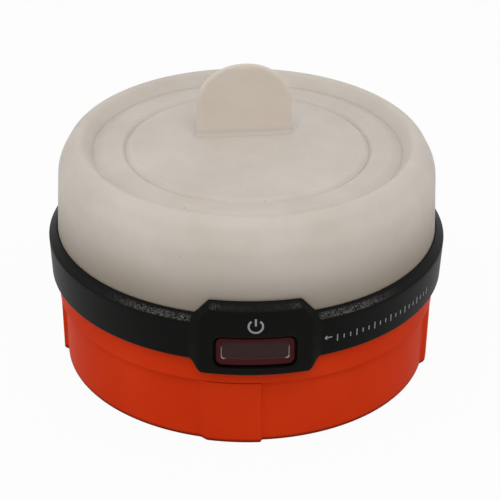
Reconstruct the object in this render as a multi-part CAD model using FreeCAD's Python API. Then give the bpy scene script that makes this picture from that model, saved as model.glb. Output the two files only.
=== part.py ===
"""Collapsible camping lantern.

A twist-off base cup holds three AA cells in a tray under the housing. A black belt with a raised
front plate and a push button sits round the housing and traps the flange of a silicone globe, whose
middle ring and centre disc rise out of each other. A pull tab stands on the disc.

Millimetres. +Z is up, the origin is the centre of the underside and the front plate faces -Y.
Front angles are measured from -Y towards +X.
"""
import FreeCAD
import Part
import math
import os

Vec = FreeCAD.Vector
UP = Vec(0, 0, 1)
ALONG = Vec(1, 0, 0)
BACK = Vec(0, 1, 0)

# AA cells, lying along X side by side
CELL_D = 14.5
CELL_L = 50.5
CELL_COUNT = 3
CELL_GAP = 1.0
CELL_EDGE = 0.8
NUB_D = 5.5
NUB_L = 1.2

# Contacts at the cells' ends
PLATE_T = 0.4
PLATE_SIDE = 11.0
DIMPLE_D = 4.4
DIMPLE_H = 0.5
SPRING_L = 5.0
SPRING_D = 6.6
SPRING_WIRE = 0.7
SPRING_TURNS = 3
LEAD_D = 1.4
LEAD_SIDESTEP = 4.5
LEAD_OVERLAP = 3.0
LEAD_ROOM = 0.4

# Battery tray under the bulkhead
CELL_FIT = 0.3
TRAY_WALL = 1.6
TRAY_SIDE = 1.0
TRAY_ROOF = 1.6
TRAY_END_DROP = 6.5
TRAY_EAR_R = 3.4
TRAY_EAR_X = 20.0

# Small screws, one size all through
SCREW_D = 2.0
SCREW_HEAD_D = 3.4
SCREW_HEAD_H = 1.1
SCREW_BITE = 3.2
SCREW_FIT = 0.05
SCREW_PASS = 0.2
BOSS_WALL = 1.2

# Base cup
FLOOR_T = 2.0
FOOT_RECESS = 0.6
FOOT_RING_W = 6.0
FOOT_EDGE = 0.8
CELL_FLOOR_GAP = 0.9
CUP_H = 18.0
CUP_WALL = 2.4
CUP_DRAFT = 0.4
PAD_COUNT = 4
PAD_H = 1.1
PAD_SPAN = 17.3
PAD_FRONT = -6.4

# Bayonet between cup and housing
SPIGOT_ROOM = 4.5
SPIGOT_WALL = 2.2
SPIGOT_CLEARANCE = 0.4
SPIGOT_TAIL = 3.0
LUG_H = 2.2
LUG_REACH = 2.2
LUG_SPAN = 9.0
LUG_DROP = 6.5
LUG_ROOM = 0.4
LUG_SIDE_ROOM = 1.0
TWIST = 30.0
SEAL_WIRE = 1.6
SEAL_DROP = 1.8
SEAL_CLEARANCE = 0.1
SEAL_ROOM = 0.15

# Housing
SEAM = 0.4
STRIP_LIP = 0.15
STRIP_H = 7.0
HOUSING_WALL = 3.2
SHOULDER_T = 2.0
SEAT_STEP = 0.7
BULKHEAD_T = 2.0
STANDOFF_H = 2.2
SHELF_T = 2.0
SHELF_CLEARANCE = 1.6

# Belt and front plate
SEAT_FIT = 0.1
BAND_PROUD = 2.4
BAND_DRAFT = 0.6
BAND_RISE = 10.5
BAND_CHAMFER_H = 2.1
BAND_LIP = 0.3
BAND_EDGE = 0.5
PLATE_PROUD = 0.4
PLATE_RISE = 4.0
PLATE_DROP = 3.15
PLATE_CHAMFER = 2.2
PLATE_CHAMFER_H = 1.65
PLATE_TOP_HALF = 11.8
PLATE_UPPER_HALF = 15.65
PLATE_LOWER_HALF = 16.0
PLATE_FOOT_HALF = 13.7
PLATE_CORNER = 1.2
PLATE_FIT = 0.15

# Push button and its switch
BUTTON_W = 19.5
BUTTON_H = 7.6
BUTTON_CORNER = 1.5
BUTTON_RISE = 3.2
BUTTON_INSET = 0.7
BUTTON_STEP = 0.4
BUTTON_BORDER = 1.3
BUTTON_ROOM = 0.6
BUTTON_TRAVEL = 0.8
BUTTON_STOP_GAP = 0.25
EAR_W = 1.4
EAR_H = 6.0
EAR_T = 0.6
EAR_FIT = 0.1
EAR_ROOM = 0.4
STEM_D = 3.6
STEM_ROOM = 0.5
SWITCH_INSET = 1.8
SWITCH_SIDE = 4.8
SWITCH_DEPTH = 2.6
PLUNGER_D = 2.4
PLUNGER_OUT = 1.0
PLUNGER_IN = 1.1
PLUNGER_ROOM = 0.15
SWITCH_BOARD_W = 18.0
SWITCH_BOARD_T = 1.2
SWITCH_BOARD_OVER = 2.5
GUIDE_GRIP = 0.8
GUIDE_WALL = 1.4
GUIDE_FIT = 0.15
INDICATOR_W = 2.0
INDICATOR_H = 1.25
INDICATOR_T = 0.8
INDICATOR_X = 5.5

# LED board and reflector
BOARD_T = 1.2
BOARD_INSET = 3.0
BOARD_SCREW_INSET = 4.0
BOARD_SCREWS = 3
LED_COUNT = 6
LED_SIDE = 5.0
LED_T = 1.6
LED_RING_R = 14.0
LED_ROOM = 0.4
SPACER_H = 1.4
REFLECTOR_T = 1.0
REFLECTOR_RIM = 2.4
REFLECTOR_RIM_W = 1.2
REFLECTOR_GAP = 2.0
RIBBON_W = 4.0
RIBBON_T = 0.8
RIBBON_LIFT = 0.9
RIBBON_TUCK = 3.0

# Silicone globe
GLOBE_FIT = 0.1
GLOBE_WALL = 2.4
GLOBE_EDGE = 0.6
FLANGE_DROP = 4.2
FLANGE_T = 1.6
CLAMP_T = 2.0
CLAMP_FIT = 0.3
CLAMP_SCREWS = 6
WALL_LEAN = 0.65
WALL_RISE = 17.2
WALL_ROUND = 9.0
SHOULDER_IN = 2.85
SHOULDER_UP = 5.4
SHOULDER_ROUND = 6.0
CREST_IN = 2.8
CREST_UP = 1.7
CREST_ROUND = 2.2
LIP_IN = 2.98
LIP_DROP = 2.7
LIP_T = 2.2
GROOVE = 0.25
MID_W = 8.35
MID_SLOPE_W = 2.8
MID_SLOPE_H = 0.5
SECTION_T = 2.0
SECTION_FOOT_GAP = 1.5
CAP_LIFT = 0.1

# Pull tab
TAB_W = 24.8
TAB_T = 2.0
TAB_SIDE_H = 9.15
TAB_CROWN = 10.6
TAB_Y = 7.2
TAB_TURN = 4.0
TAB_GAP = 0.15
TAB_EDGE = 0.6

# Heights, worked out from the sizes above
CELL_PITCH = CELL_D + CELL_GAP
CELL_Z = FLOOR_T + CELL_FLOOR_GAP + CELL_D / 2
TRAY_TOP = CELL_Z + CELL_D / 2 + CELL_FIT + TRAY_ROOF
BULKHEAD_TOP = TRAY_TOP + BULKHEAD_T
BOARD_Z = BULKHEAD_TOP + STANDOFF_H
BOARD_TOP = BOARD_Z + BOARD_T
REFLECTOR_Z = BOARD_TOP + SPACER_H
REFLECTOR_TOP = REFLECTOR_Z + REFLECTOR_T
HOUSING_Z = CUP_H + SEAM
BAND_Z = HOUSING_Z + STRIP_H
RIDGE_Z = BAND_Z + BAND_RISE
BAND_TOP = RIDGE_Z + BAND_CHAMFER_H
SHELF_TOP = BAND_TOP - FLANGE_DROP
FLANGE_TOP = SHELF_TOP + FLANGE_T
BUTTON_Z = BAND_Z + BUTTON_RISE
LUG_Z = CUP_H - LUG_DROP
SPIGOT_Z = LUG_Z - LUG_H / 2 - LUG_ROOM - SPIGOT_TAIL
WALL_TOP = BAND_TOP + WALL_RISE
SHOULDER_Z = WALL_TOP + SHOULDER_UP
CREST_Z = SHOULDER_Z + CREST_UP
LIP_Z = CREST_Z - LIP_DROP
CAP_TOP = LIP_Z + CAP_LIFT
SECTION_FOOT = REFLECTOR_TOP + REFLECTOR_RIM + SECTION_FOOT_GAP
TAB_AXIS_Z = CAP_TOP + TAB_T / 2 + TAB_GAP

# Lengths along the tray and radii, worked out from the cells outwards
POCKET_HALF = (CELL_L + 2 * PLATE_T + DIMPLE_H + SPRING_L) / 2
CONTACT_FACE = POCKET_HALF - PLATE_T
TRAY_HALF_X = POCKET_HALF + TRAY_WALL
TRAY_HALF_Y = CELL_PITCH * (CELL_COUNT - 1) / 2 + CELL_D / 2 + CELL_FIT + TRAY_SIDE
SPIGOT_IN_R = math.hypot(TRAY_HALF_X, TRAY_HALF_Y) + SPIGOT_ROOM
SPIGOT_R = SPIGOT_IN_R + SPIGOT_WALL
CUP_BORE_R = SPIGOT_R + SPIGOT_CLEARANCE
CUP_FOOT_R = CUP_BORE_R + CUP_WALL
CUP_RIM_R = CUP_FOOT_R + CUP_DRAFT
STRIP_R = CUP_RIM_R + PAD_H + STRIP_LIP
HOUSING_IN_R = STRIP_R - HOUSING_WALL
SEAT_R = STRIP_R - SEAT_STEP
RIDGE_R = STRIP_R + BAND_PROUD
PLATE_R = RIDGE_R + PLATE_PROUD
BUTTON_R = PLATE_R - BUTTON_INSET
WALL_TOP_R = STRIP_R - WALL_LEAN
SHOULDER_R = WALL_TOP_R - SHOULDER_IN
CREST_R = SHOULDER_R - CREST_IN
LIP_R = CREST_R - LIP_IN
MID_R = LIP_R - GROOVE
MID_IN_R = MID_R - MID_W
CAP_R = MID_IN_R - GROOVE
SHELF_IN_R = MID_R + SHELF_CLEARANCE
CLAMP_R = STRIP_R - GLOBE_WALL - CLAMP_FIT
CLAMP_SCREW_R = (SHELF_IN_R + CLAMP_R) / 2
BOSS_R = SCREW_D / 2 + BOSS_WALL

# Places along Y of the button and its switch, front to back
BUTTON_BACK = -(SEAT_R + BUTTON_TRAVEL + BUTTON_STOP_GAP)
SWITCH_FRONT = -(HOUSING_IN_R - SWITCH_INSET)
SWITCH_BACK = SWITCH_FRONT + SWITCH_DEPTH
SWITCH_BOARD_BACK = SWITCH_BACK + SWITCH_BOARD_T
PLUNGER_TIP = SWITCH_FRONT - PLUNGER_OUT
SWITCH_BOARD_TOP = BUTTON_Z + SWITCH_BOARD_OVER

REFLECTOR_R = -SWITCH_BOARD_BACK - REFLECTOR_GAP
BOARD_R = REFLECTOR_R - BOARD_INSET
BOARD_SCREW_R = BOARD_R - BOARD_SCREW_INSET
TRAY_EAR_Y = TRAY_HALF_Y + TRAY_EAR_R


def profile(points):
    """Closed face in the XZ plane from (radius, height, corner) points, each corner an arc."""
    corners = []
    for i, (r, z, corner) in enumerate(points):
        here = Vec(r, 0, z)
        before = Vec(points[i - 1][0], 0, points[i - 1][1]) - here
        after_point = points[(i + 1) % len(points)]
        after = Vec(after_point[0], 0, after_point[1]) - here
        if corner == 0:
            corners.append((here, None, here))
            continue
        half = before.getAngle(after) / 2
        reach = min(corner / math.tan(half), 0.45 * before.Length, 0.45 * after.Length)
        radius = reach * math.tan(half)
        before.normalize()
        after.normalize()
        inward = before + after
        inward.normalize()
        middle = here + inward * (radius / math.sin(half) - radius)
        corners.append((here + before * reach, middle, here + after * reach))
    edges = []
    for i, (start, middle, end) in enumerate(corners):
        if middle:
            edges.append(Part.Arc(start, middle, end).toShape())
        edges.append(Part.LineSegment(end, corners[(i + 1) % len(corners)][0]).toShape())
    return Part.Face(Part.Wire(edges))


def turned(points, sweep=360.0, start=-180.0):
    """Profile turned about Z, from a start angle counted from +X."""
    face = profile(points)
    face.rotate(Vec(0, 0, 0), UP, start)
    return face.revolve(Vec(0, 0, 0), UP, sweep)


def ring(inner, outer, low, high):
    """Plain ring of square section about Z."""
    return turned([(inner, low, 0), (outer, low, 0), (outer, high, 0), (inner, high, 0)])


def arc_block(inner, outer, low, high, middle, span):
    """Piece of a ring, centred on a front angle in degrees and spanning some degrees."""
    points = [(inner, low, 0), (outer, low, 0), (outer, high, 0), (inner, high, 0)]
    return turned(points, span, middle - 90.0 - span / 2)


def block(low, high):
    """Box between two opposite corners."""
    size = Vec(*high) - Vec(*low)
    return Part.makeBox(size.x, size.y, size.z, Vec(*low))


def post(x, y, low, high, radius):
    """Upright cylinder."""
    return Part.makeCylinder(radius, high - low, Vec(x, y, low), UP)


def on_circle(count, radius, first):
    """Places evenly spaced on a circle, the first at an angle from +X in degrees."""
    angles = [math.radians(first + 360.0 * i / count) for i in range(count)]
    return [(radius * math.cos(a), radius * math.sin(a)) for a in angles]


def rounded_slab(width, height, corner, front, back, middle_z):
    """Slab facing -Y with rounded corners, centred on X = 0."""
    half_w = width / 2
    half_h = height / 2
    slab = block((-half_w, front, middle_z - half_h), (half_w, back, middle_z + half_h))
    along_y = [e for e in slab.Edges if abs(e.tangentAt(e.FirstParameter).y) > 0.99]
    return slab.makeFillet(corner, along_y)


def clamp_screw_places():
    """Screws of the clamp ring, clear of the switch at the front."""
    return on_circle(CLAMP_SCREWS, CLAMP_SCREW_R, -90.0 + 180.0 / CLAMP_SCREWS)


def board_screw_places():
    """Screws through reflector and LED board, the first at the back."""
    return on_circle(BOARD_SCREWS, BOARD_SCREW_R, 90.0)


def tray_ear_places():
    """Ears of the battery tray, one beside each end of its long sides."""
    return [(x, y) for x in (-TRAY_EAR_X, TRAY_EAR_X) for y in (-TRAY_EAR_Y, TRAY_EAR_Y)]


def lead_places():
    """Positive lead at the last cell's +X end, negative lead at the first cell's -X end."""
    x = CONTACT_FACE - LEAD_D / 2
    y = cell_y(CELL_COUNT - 1) + LEAD_SIDESTEP
    return {"positive": (x, y), "negative": (-x, -y)}


def cell_y(index):
    """Place of a cell's axis along Y."""
    return CELL_PITCH * (index - (CELL_COUNT - 1) / 2)


def cell_way(index):
    """Direction of a cell's positive end along X, turned about from cell to cell."""
    return 1 if index % 2 == 0 else -1


def screw_down(x, y, seat, length):
    """Pan-head screw whose head sits on a seat and whose shank points down."""
    head = post(x, y, seat, seat + SCREW_HEAD_H, SCREW_HEAD_D / 2)
    top_edges = [e for e in head.Edges if e.BoundBox.ZMin > seat + SCREW_HEAD_H / 2]
    head = head.makeFillet(SCREW_HEAD_H / 3, top_edges)
    return head.fuse(post(x, y, seat - length, seat, SCREW_D / 2)).removeSplitter()


def make_base_cup():
    """Cup with a foot ring, raised grip pads and inward bayonet lugs."""
    foot_in = CUP_FOOT_R - FOOT_RING_W
    cup = turned([
        (0, FOOT_RECESS, 0),
        (foot_in, FOOT_RECESS, 0),
        (foot_in, 0, 0),
        (CUP_FOOT_R, 0, FOOT_EDGE),
        (CUP_RIM_R, CUP_H, 0),
        (CUP_BORE_R, CUP_H, 0),
        (CUP_BORE_R, FLOOR_T, FOOT_EDGE),
        (0, FLOOR_T, 0),
    ])
    in_wall = CUP_BORE_R + CUP_WALL / 2
    for i in range(PAD_COUNT):
        middle = PAD_FRONT + 360.0 * i / PAD_COUNT
        pad = [
            (in_wall, 0, 0),
            (CUP_FOOT_R + PAD_H, 0, FOOT_EDGE),
            (CUP_RIM_R + PAD_H, CUP_H, 0),
            (in_wall, CUP_H, 0),
        ]
        cup = cup.fuse(turned(pad, PAD_SPAN, middle - 90.0 - PAD_SPAN / 2))
        low = LUG_Z - LUG_H / 2
        cup = cup.fuse(arc_block(CUP_BORE_R - LUG_REACH, in_wall, low, low + LUG_H, middle, LUG_SPAN))
    return cup.removeSplitter()


def bayonet_slots():
    """L-shaped slots: the lug starts at the closed end and is under the way out after the twist."""
    low = LUG_Z - LUG_H / 2 - LUG_ROOM
    high = LUG_Z + LUG_H / 2 + LUG_ROOM
    span = LUG_SPAN + 2 * LUG_SIDE_ROOM
    inner = SPIGOT_IN_R - SPIGOT_WALL
    slots = []
    for i in range(PAD_COUNT):
        middle = PAD_FRONT + 360.0 * i / PAD_COUNT
        slots.append(arc_block(inner, CUP_BORE_R, low, high, middle - TWIST / 2, span + TWIST))
        slots.append(arc_block(inner, CUP_BORE_R, SPIGOT_Z - SPIGOT_TAIL, high, middle - TWIST, span))
    return slots


def switch_guides():
    """Two grooved posts on the bulkhead that hold the switch board by its edges."""
    guides = []
    half = SWITCH_BOARD_W / 2
    for side in (-1, 1):
        near = side * (half - GUIDE_GRIP)
        far = side * (half + GUIDE_FIT + GUIDE_WALL)
        low = (min(near, far), SWITCH_BACK - GUIDE_WALL, BULKHEAD_TOP)
        high = (max(near, far), SWITCH_BOARD_BACK + GUIDE_WALL, BUTTON_Z - SWITCH_SIDE / 2)
        guides.append(block(low, high))
    groove = block(
        (-half - GUIDE_FIT, SWITCH_BACK - GUIDE_FIT, BULKHEAD_TOP),
        (half + GUIDE_FIT, SWITCH_BOARD_BACK + GUIDE_FIT, BUTTON_Z),
    )
    return [guide.cut(groove) for guide in guides]


def make_housing():
    """Spigot, bulkhead, visible strip, seat for the belt and shelf for the globe's flange."""
    tube_top = max(BULKHEAD_TOP, HOUSING_Z + SHOULDER_T)
    solids = [
        ring(SPIGOT_IN_R, SPIGOT_R, SPIGOT_Z, tube_top),
        post(0, 0, TRAY_TOP, BULKHEAD_TOP, SPIGOT_R),
        ring(SPIGOT_IN_R, STRIP_R, HOUSING_Z, HOUSING_Z + SHOULDER_T),
        ring(HOUSING_IN_R, STRIP_R, HOUSING_Z, BAND_Z),
        ring(HOUSING_IN_R, SEAT_R, HOUSING_Z, SHELF_TOP),
        ring(SHELF_IN_R, SEAT_R, SHELF_TOP - SHELF_T, SHELF_TOP),
    ]
    solids += [post(x, y, BULKHEAD_TOP, BOARD_Z, BOSS_R + SCREW_FIT) for x, y in board_screw_places()]
    boss_top = BOARD_Z - SCREW_PASS
    solids += [post(x, y, BULKHEAD_TOP, boss_top, BOSS_R + SCREW_FIT) for x, y in tray_ear_places()]
    boss_low = FLANGE_TOP + CLAMP_T - clamp_screw_length() - SCREW_PASS
    solids += [post(x, y, boss_low, SHELF_TOP, BOSS_R) for x, y in clamp_screw_places()]
    solids += switch_guides()
    housing = solids[0].multiFuse(solids[1:])
    cuts = bayonet_slots()
    cuts.append(ring(SPIGOT_R - SEAL_WIRE, CUP_BORE_R, seal_z() - seal_half(), seal_z() + seal_half()))
    bite = SCREW_D / 2 + SCREW_FIT
    cuts += [post(x, y, TRAY_TOP, BOARD_Z, bite) for x, y in board_screw_places()]
    cuts += [post(x, y, TRAY_TOP, BOARD_Z, bite) for x, y in tray_ear_places()]
    cuts += [post(x, y, boss_low, SHELF_TOP, bite) for x, y in clamp_screw_places()]
    lead_hole = LEAD_D / 2 + LEAD_ROOM
    cuts += [post(x, y, TRAY_TOP, BULKHEAD_TOP, lead_hole) for x, y in lead_places().values()]
    stem_start = Vec(0, -STRIP_R, BUTTON_Z)
    cuts.append(Part.makeCylinder(STEM_D / 2 + STEM_ROOM, STRIP_R + SWITCH_FRONT, stem_start, BACK))
    half = BUTTON_W / 2 + BUTTON_ROOM
    relief_low = (-half, -STRIP_R, BUTTON_Z - BUTTON_H / 2 - BUTTON_ROOM)
    cuts.append(block(relief_low, (half, -SEAT_R, BUTTON_Z)))
    half = SWITCH_BOARD_W / 2 + GUIDE_FIT
    bay_low = (-half, SWITCH_FRONT - GUIDE_FIT, BUTTON_Z - SWITCH_SIDE / 2 - GUIDE_FIT)
    bay_high = (half, SWITCH_BOARD_BACK + GUIDE_FIT, SWITCH_BOARD_TOP + GUIDE_FIT)
    cuts.append(block(bay_low, bay_high))
    return housing.cut(cuts).removeSplitter()


def seal_z():
    """Height of the O-ring's middle."""
    return CUP_H - SEAL_DROP


def seal_half():
    """Half the height of the O-ring's groove."""
    return SEAL_WIRE / 2 + SEAL_ROOM


def clamp_screw_length():
    """Shank length of the clamp screws: through clamp and flange, then biting."""
    return CLAMP_T + FLANGE_T + SCREW_BITE


def make_base_seal():
    """O-ring on the spigot, just clear of the cup's bore."""
    middle_r = CUP_BORE_R - SEAL_CLEARANCE - SEAL_WIRE / 2
    return Part.makeTorus(middle_r, SEAL_WIRE / 2, Vec(0, 0, seal_z()), UP)


def front_plate():
    """Raised plate: an outline seen from the front, cut out of a ring with a bevelled top."""
    low = BAND_Z - PLATE_DROP
    high = BAND_TOP + PLATE_RISE
    right = [
        (PLATE_FOOT_HALF, low, PLATE_CORNER),
        (PLATE_LOWER_HALF, BAND_Z, 0),
        (PLATE_UPPER_HALF, BAND_TOP, 0),
        (PLATE_TOP_HALF, high, PLATE_CORNER),
    ]
    left = [(-x, z, corner) for x, z, corner in reversed(right)]
    prism = profile(right + left).extrude(Vec(0, -2 * PLATE_R, 0))
    inner = STRIP_R + PLATE_FIT
    shell = turned([
        (inner, low, 0),
        (PLATE_R, low, BAND_EDGE),
        (PLATE_R, high - PLATE_CHAMFER_H, BAND_EDGE),
        (PLATE_R - PLATE_CHAMFER, high, 0),
        (inner, high, 0),
    ])
    return shell.common(prism)


def make_trim_band():
    """Belt with a ridge and a chamfer, its front plate, the button's window and the ears' pocket."""
    collar_r = STRIP_R + GLOBE_FIT
    lip_r = SEAT_R + SEAT_FIT
    band = turned([
        (lip_r, BAND_Z, 0),
        (RIDGE_R - BAND_DRAFT, BAND_Z, BAND_EDGE),
        (RIDGE_R, RIDGE_Z, BAND_EDGE),
        (collar_r + BAND_LIP, BAND_TOP, 0),
        (collar_r, BAND_TOP, 0),
        (collar_r, SHELF_TOP, 0),
        (lip_r, SHELF_TOP, 0),
    ])
    band = band.fuse(front_plate())
    window = rounded_slab(
        BUTTON_W + 2 * BUTTON_ROOM,
        BUTTON_H + 2 * BUTTON_ROOM,
        BUTTON_CORNER + BUTTON_ROOM,
        -2 * PLATE_R,
        -HOUSING_IN_R,
        BUTTON_Z,
    )
    half_w = BUTTON_W / 2 + EAR_W + EAR_ROOM
    half_h = EAR_H / 2 + EAR_ROOM
    pocket = block(
        (-half_w, BUTTON_BACK - EAR_T - EAR_FIT, BUTTON_Z - half_h),
        (half_w, -HOUSING_IN_R, BUTTON_Z + half_h),
    )
    return band.cut([window, pocket]).removeSplitter()


def make_button_cap():
    """Push button: body with a sunk face, side ears behind the plate and a stem to the switch."""
    body = rounded_slab(BUTTON_W, BUTTON_H, BUTTON_CORNER, -2 * PLATE_R, BUTTON_BACK, BUTTON_Z)
    low = BUTTON_Z - BUTTON_H
    high = BUTTON_Z + BUTTON_H
    body = body.common(post(0, 0, low, high, BUTTON_R))
    face_w = BUTTON_W - 2 * BUTTON_BORDER
    face_h = BUTTON_H - 2 * BUTTON_BORDER
    sunk = rounded_slab(face_w, face_h, BUTTON_CORNER / 2, -2 * PLATE_R, BUTTON_BACK, BUTTON_Z)
    sunk = sunk.cut(post(0, 0, low, high, BUTTON_R - BUTTON_STEP))
    half_w = BUTTON_W / 2 + EAR_W
    ears = block(
        (-half_w, BUTTON_BACK - EAR_T, BUTTON_Z - EAR_H / 2),
        (half_w, BUTTON_BACK, BUTTON_Z + EAR_H / 2),
    )
    stem_start = Vec(0, BUTTON_BACK - EAR_T, BUTTON_Z)
    stem = Part.makeCylinder(STEM_D / 2, PLUNGER_TIP - stem_start.y, stem_start, BACK)
    return body.cut(sunk).multiFuse([ears, stem]).removeSplitter()


def make_switch_plunger():
    """Plunger of the switch, against the end of the button's stem."""
    tip = Vec(0, PLUNGER_TIP, BUTTON_Z)
    return Part.makeCylinder(PLUNGER_D / 2, PLUNGER_OUT + PLUNGER_IN, tip, BACK)


def make_tact_switch():
    """Square switch body with the plunger's hole, which has room for the travel."""
    half = SWITCH_SIDE / 2
    body = block((-half, SWITCH_FRONT, BUTTON_Z - half), (half, SWITCH_BACK, BUTTON_Z + half))
    depth = PLUNGER_IN + BUTTON_TRAVEL + PLUNGER_ROOM
    mouth = Vec(0, SWITCH_FRONT, BUTTON_Z)
    hole = Part.makeCylinder(PLUNGER_D / 2 + PLUNGER_ROOM, depth, mouth, BACK)
    return body.cut(hole)


def make_switch_board():
    """Upright board that carries the switch, standing on the bulkhead."""
    half = SWITCH_BOARD_W / 2
    return block((-half, SWITCH_BACK, BULKHEAD_TOP), (half, SWITCH_BOARD_BACK, SWITCH_BOARD_TOP))


def make_indicator_led():
    """Small lamp beside the switch, behind the see-through button."""
    low = (INDICATOR_X - INDICATOR_W / 2, SWITCH_BACK - INDICATOR_T, BUTTON_Z - INDICATOR_H / 2)
    high = (INDICATOR_X + INDICATOR_W / 2, SWITCH_BACK, BUTTON_Z + INDICATOR_H / 2)
    return block(low, high)


def make_switch_lead():
    """Flat lead from the back of the switch board to the underside of the LED board."""
    half = RIBBON_W / 2
    low = BULKHEAD_TOP + RIBBON_LIFT
    end = RIBBON_TUCK - BOARD_R
    run = block((-half, SWITCH_BOARD_BACK, low), (half, end, low + RIBBON_T))
    rise = block((-half, end - RIBBON_T, low), (half, end, BOARD_Z))
    return run.fuse(rise).removeSplitter()


def make_led_board():
    """Round board on the bulkhead's standoffs."""
    board = post(0, 0, BOARD_Z, BOARD_TOP, BOARD_R)
    hole = SCREW_D / 2 + SCREW_PASS
    return board.cut([post(x, y, BOARD_Z, BOARD_TOP, hole) for x, y in board_screw_places()])


def led_blocks(room, low, high):
    """Square blocks at the LEDs' places, with some room round each."""
    half = LED_SIDE / 2 + room
    places = on_circle(LED_COUNT, LED_RING_R, 0.0)
    return [block((x - half, y - half, low), (x + half, y + half, high)) for x, y in places]


def make_leds():
    """Surface-mounted LEDs on the board, one solid each."""
    return Part.makeCompound(led_blocks(0.0, BOARD_TOP, BOARD_TOP + LED_T))


def make_reflector():
    """Shallow dish with a raised rim, a window for each LED and spacers down to the board."""
    rim_in = REFLECTOR_R - REFLECTOR_RIM_W
    dish = turned([
        (0, REFLECTOR_Z, 0),
        (REFLECTOR_R, REFLECTOR_Z, REFLECTOR_T / 2),
        (REFLECTOR_R, REFLECTOR_TOP + REFLECTOR_RIM, 0),
        (rim_in, REFLECTOR_TOP + REFLECTOR_RIM, 0),
        (rim_in - REFLECTOR_RIM, REFLECTOR_TOP, 0),
        (0, REFLECTOR_TOP, 0),
    ])
    places = board_screw_places()
    dish = dish.multiFuse([post(x, y, BOARD_TOP, REFLECTOR_Z, BOSS_R) for x, y in places])
    hole = SCREW_D / 2 + SCREW_PASS
    cuts = [post(x, y, BOARD_TOP, REFLECTOR_TOP, hole) for x, y in places]
    head_room = SCREW_HEAD_D / 2 + SCREW_PASS
    rim_top = REFLECTOR_TOP + REFLECTOR_RIM
    cuts += [post(x, y, REFLECTOR_TOP, rim_top, head_room) for x, y in places]
    cuts += led_blocks(LED_ROOM, BOARD_TOP, REFLECTOR_TOP)
    return dish.cut(cuts)


def make_board_screws():
    """Screws that hold reflector and board to the standoffs, one solid each."""
    length = REFLECTOR_TOP - BOARD_Z + SCREW_BITE
    return Part.makeCompound([screw_down(x, y, REFLECTOR_TOP, length) for x, y in board_screw_places()])


def make_battery_tray():
    """Tray with half-round pockets open downwards, end walls for the contacts and screw ears."""
    body = block((-TRAY_HALF_X, -TRAY_HALF_Y, CELL_Z), (TRAY_HALF_X, TRAY_HALF_Y, TRAY_TOP))
    solids = []
    for near, far in ((-TRAY_HALF_X, -POCKET_HALF), (POCKET_HALF, TRAY_HALF_X)):
        solids.append(block((near, -TRAY_HALF_Y, CELL_Z - TRAY_END_DROP), (far, TRAY_HALF_Y, TRAY_TOP)))
    ear_low = TRAY_TOP - TRAY_ROOF
    for x, y in tray_ear_places():
        inward = math.copysign(TRAY_HALF_Y - TRAY_WALL, y)
        solids.append(post(x, y, ear_low, TRAY_TOP, TRAY_EAR_R))
        low_y, high_y = sorted((inward, y))
        solids.append(block((x - TRAY_EAR_R, low_y, ear_low), (x + TRAY_EAR_R, high_y, TRAY_TOP)))
    tray = body.multiFuse(solids)
    cuts = []
    for i in range(CELL_COUNT):
        start = Vec(-POCKET_HALF, cell_y(i), CELL_Z)
        cuts.append(Part.makeCylinder(CELL_D / 2 + CELL_FIT, 2 * POCKET_HALF, start, ALONG))
    slot_y = cell_y(CELL_COUNT - 1) + PLATE_SIDE / 2
    for near, far in ((-POCKET_HALF, -CONTACT_FACE), (CONTACT_FACE, POCKET_HALF)):
        cuts.append(block((near, -slot_y, CELL_Z), (far, slot_y, CELL_Z + PLATE_SIDE / 2)))
    hole = SCREW_D / 2 + SCREW_PASS
    cuts += [post(x, y, ear_low, TRAY_TOP, hole) for x, y in tray_ear_places()]
    lead_hole = LEAD_D / 2 + LEAD_ROOM
    cuts += [post(x, y, CELL_Z, TRAY_TOP, lead_hole) for x, y in lead_places().values()]
    return tray.cut(cuts).removeSplitter()


def make_tray_screws():
    """Screws up through the tray's ears into the bulkhead, heads below, one solid each."""
    seat = TRAY_TOP - TRAY_ROOF
    screws = []
    for x, y in tray_ear_places():
        screw = screw_down(x, y, seat, TRAY_ROOF + SCREW_BITE)
        screw.rotate(Vec(x, y, seat), ALONG, 180.0)
        screws.append(screw)
    return Part.makeCompound(screws)


def make_aa_cell(index):
    """AA cell with its positive nub against the dimple of its contact plate."""
    tip = CONTACT_FACE - DIMPLE_H
    can = Part.makeCylinder(CELL_D / 2, CELL_L - NUB_L, Vec(tip - CELL_L, 0, 0), ALONG)
    can = can.makeFillet(CELL_EDGE, [e for e in can.Edges if e.Curve.TypeId == "Part::GeomCircle"])
    nub = Part.makeCylinder(NUB_D / 2, NUB_L, Vec(tip - NUB_L, 0, 0), ALONG)
    cell = can.fuse(nub).removeSplitter()
    if cell_way(index) < 0:
        cell.rotate(Vec(0, 0, 0), UP, 180.0)
    cell.translate(Vec(0, cell_y(index), CELL_Z))
    return cell


def contact_plate(side, first, last):
    """Thin plate on one end wall, across one cell or two, with a dimple at each positive end."""
    low = (CONTACT_FACE, cell_y(first) - PLATE_SIDE / 2, -PLATE_SIDE / 2)
    high = (POCKET_HALF, cell_y(last) + PLATE_SIDE / 2, PLATE_SIDE / 2)
    plate = block(low, high)
    for i in range(first, last + 1):
        if cell_way(i) == side:
            foot = Vec(CONTACT_FACE - DIMPLE_H, cell_y(i), 0)
            plate = plate.fuse(Part.makeCylinder(DIMPLE_D / 2, DIMPLE_H, foot, ALONG))
    if side < 0:
        plate = plate.mirror(Vec(0, 0, 0), ALONG)
    plate.translate(Vec(0, 0, CELL_Z))
    return plate


def make_contact_plates():
    """End plates that put the cells in series: pairs are joined at alternate ends."""
    plates = [contact_plate(-1, 0, 0)]
    for i in range(CELL_COUNT - 1):
        plates.append(contact_plate(cell_way(i), i, i + 1))
    plates.append(contact_plate(cell_way(CELL_COUNT - 1), CELL_COUNT - 1, CELL_COUNT - 1))
    return Part.makeCompound(plates)


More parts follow.
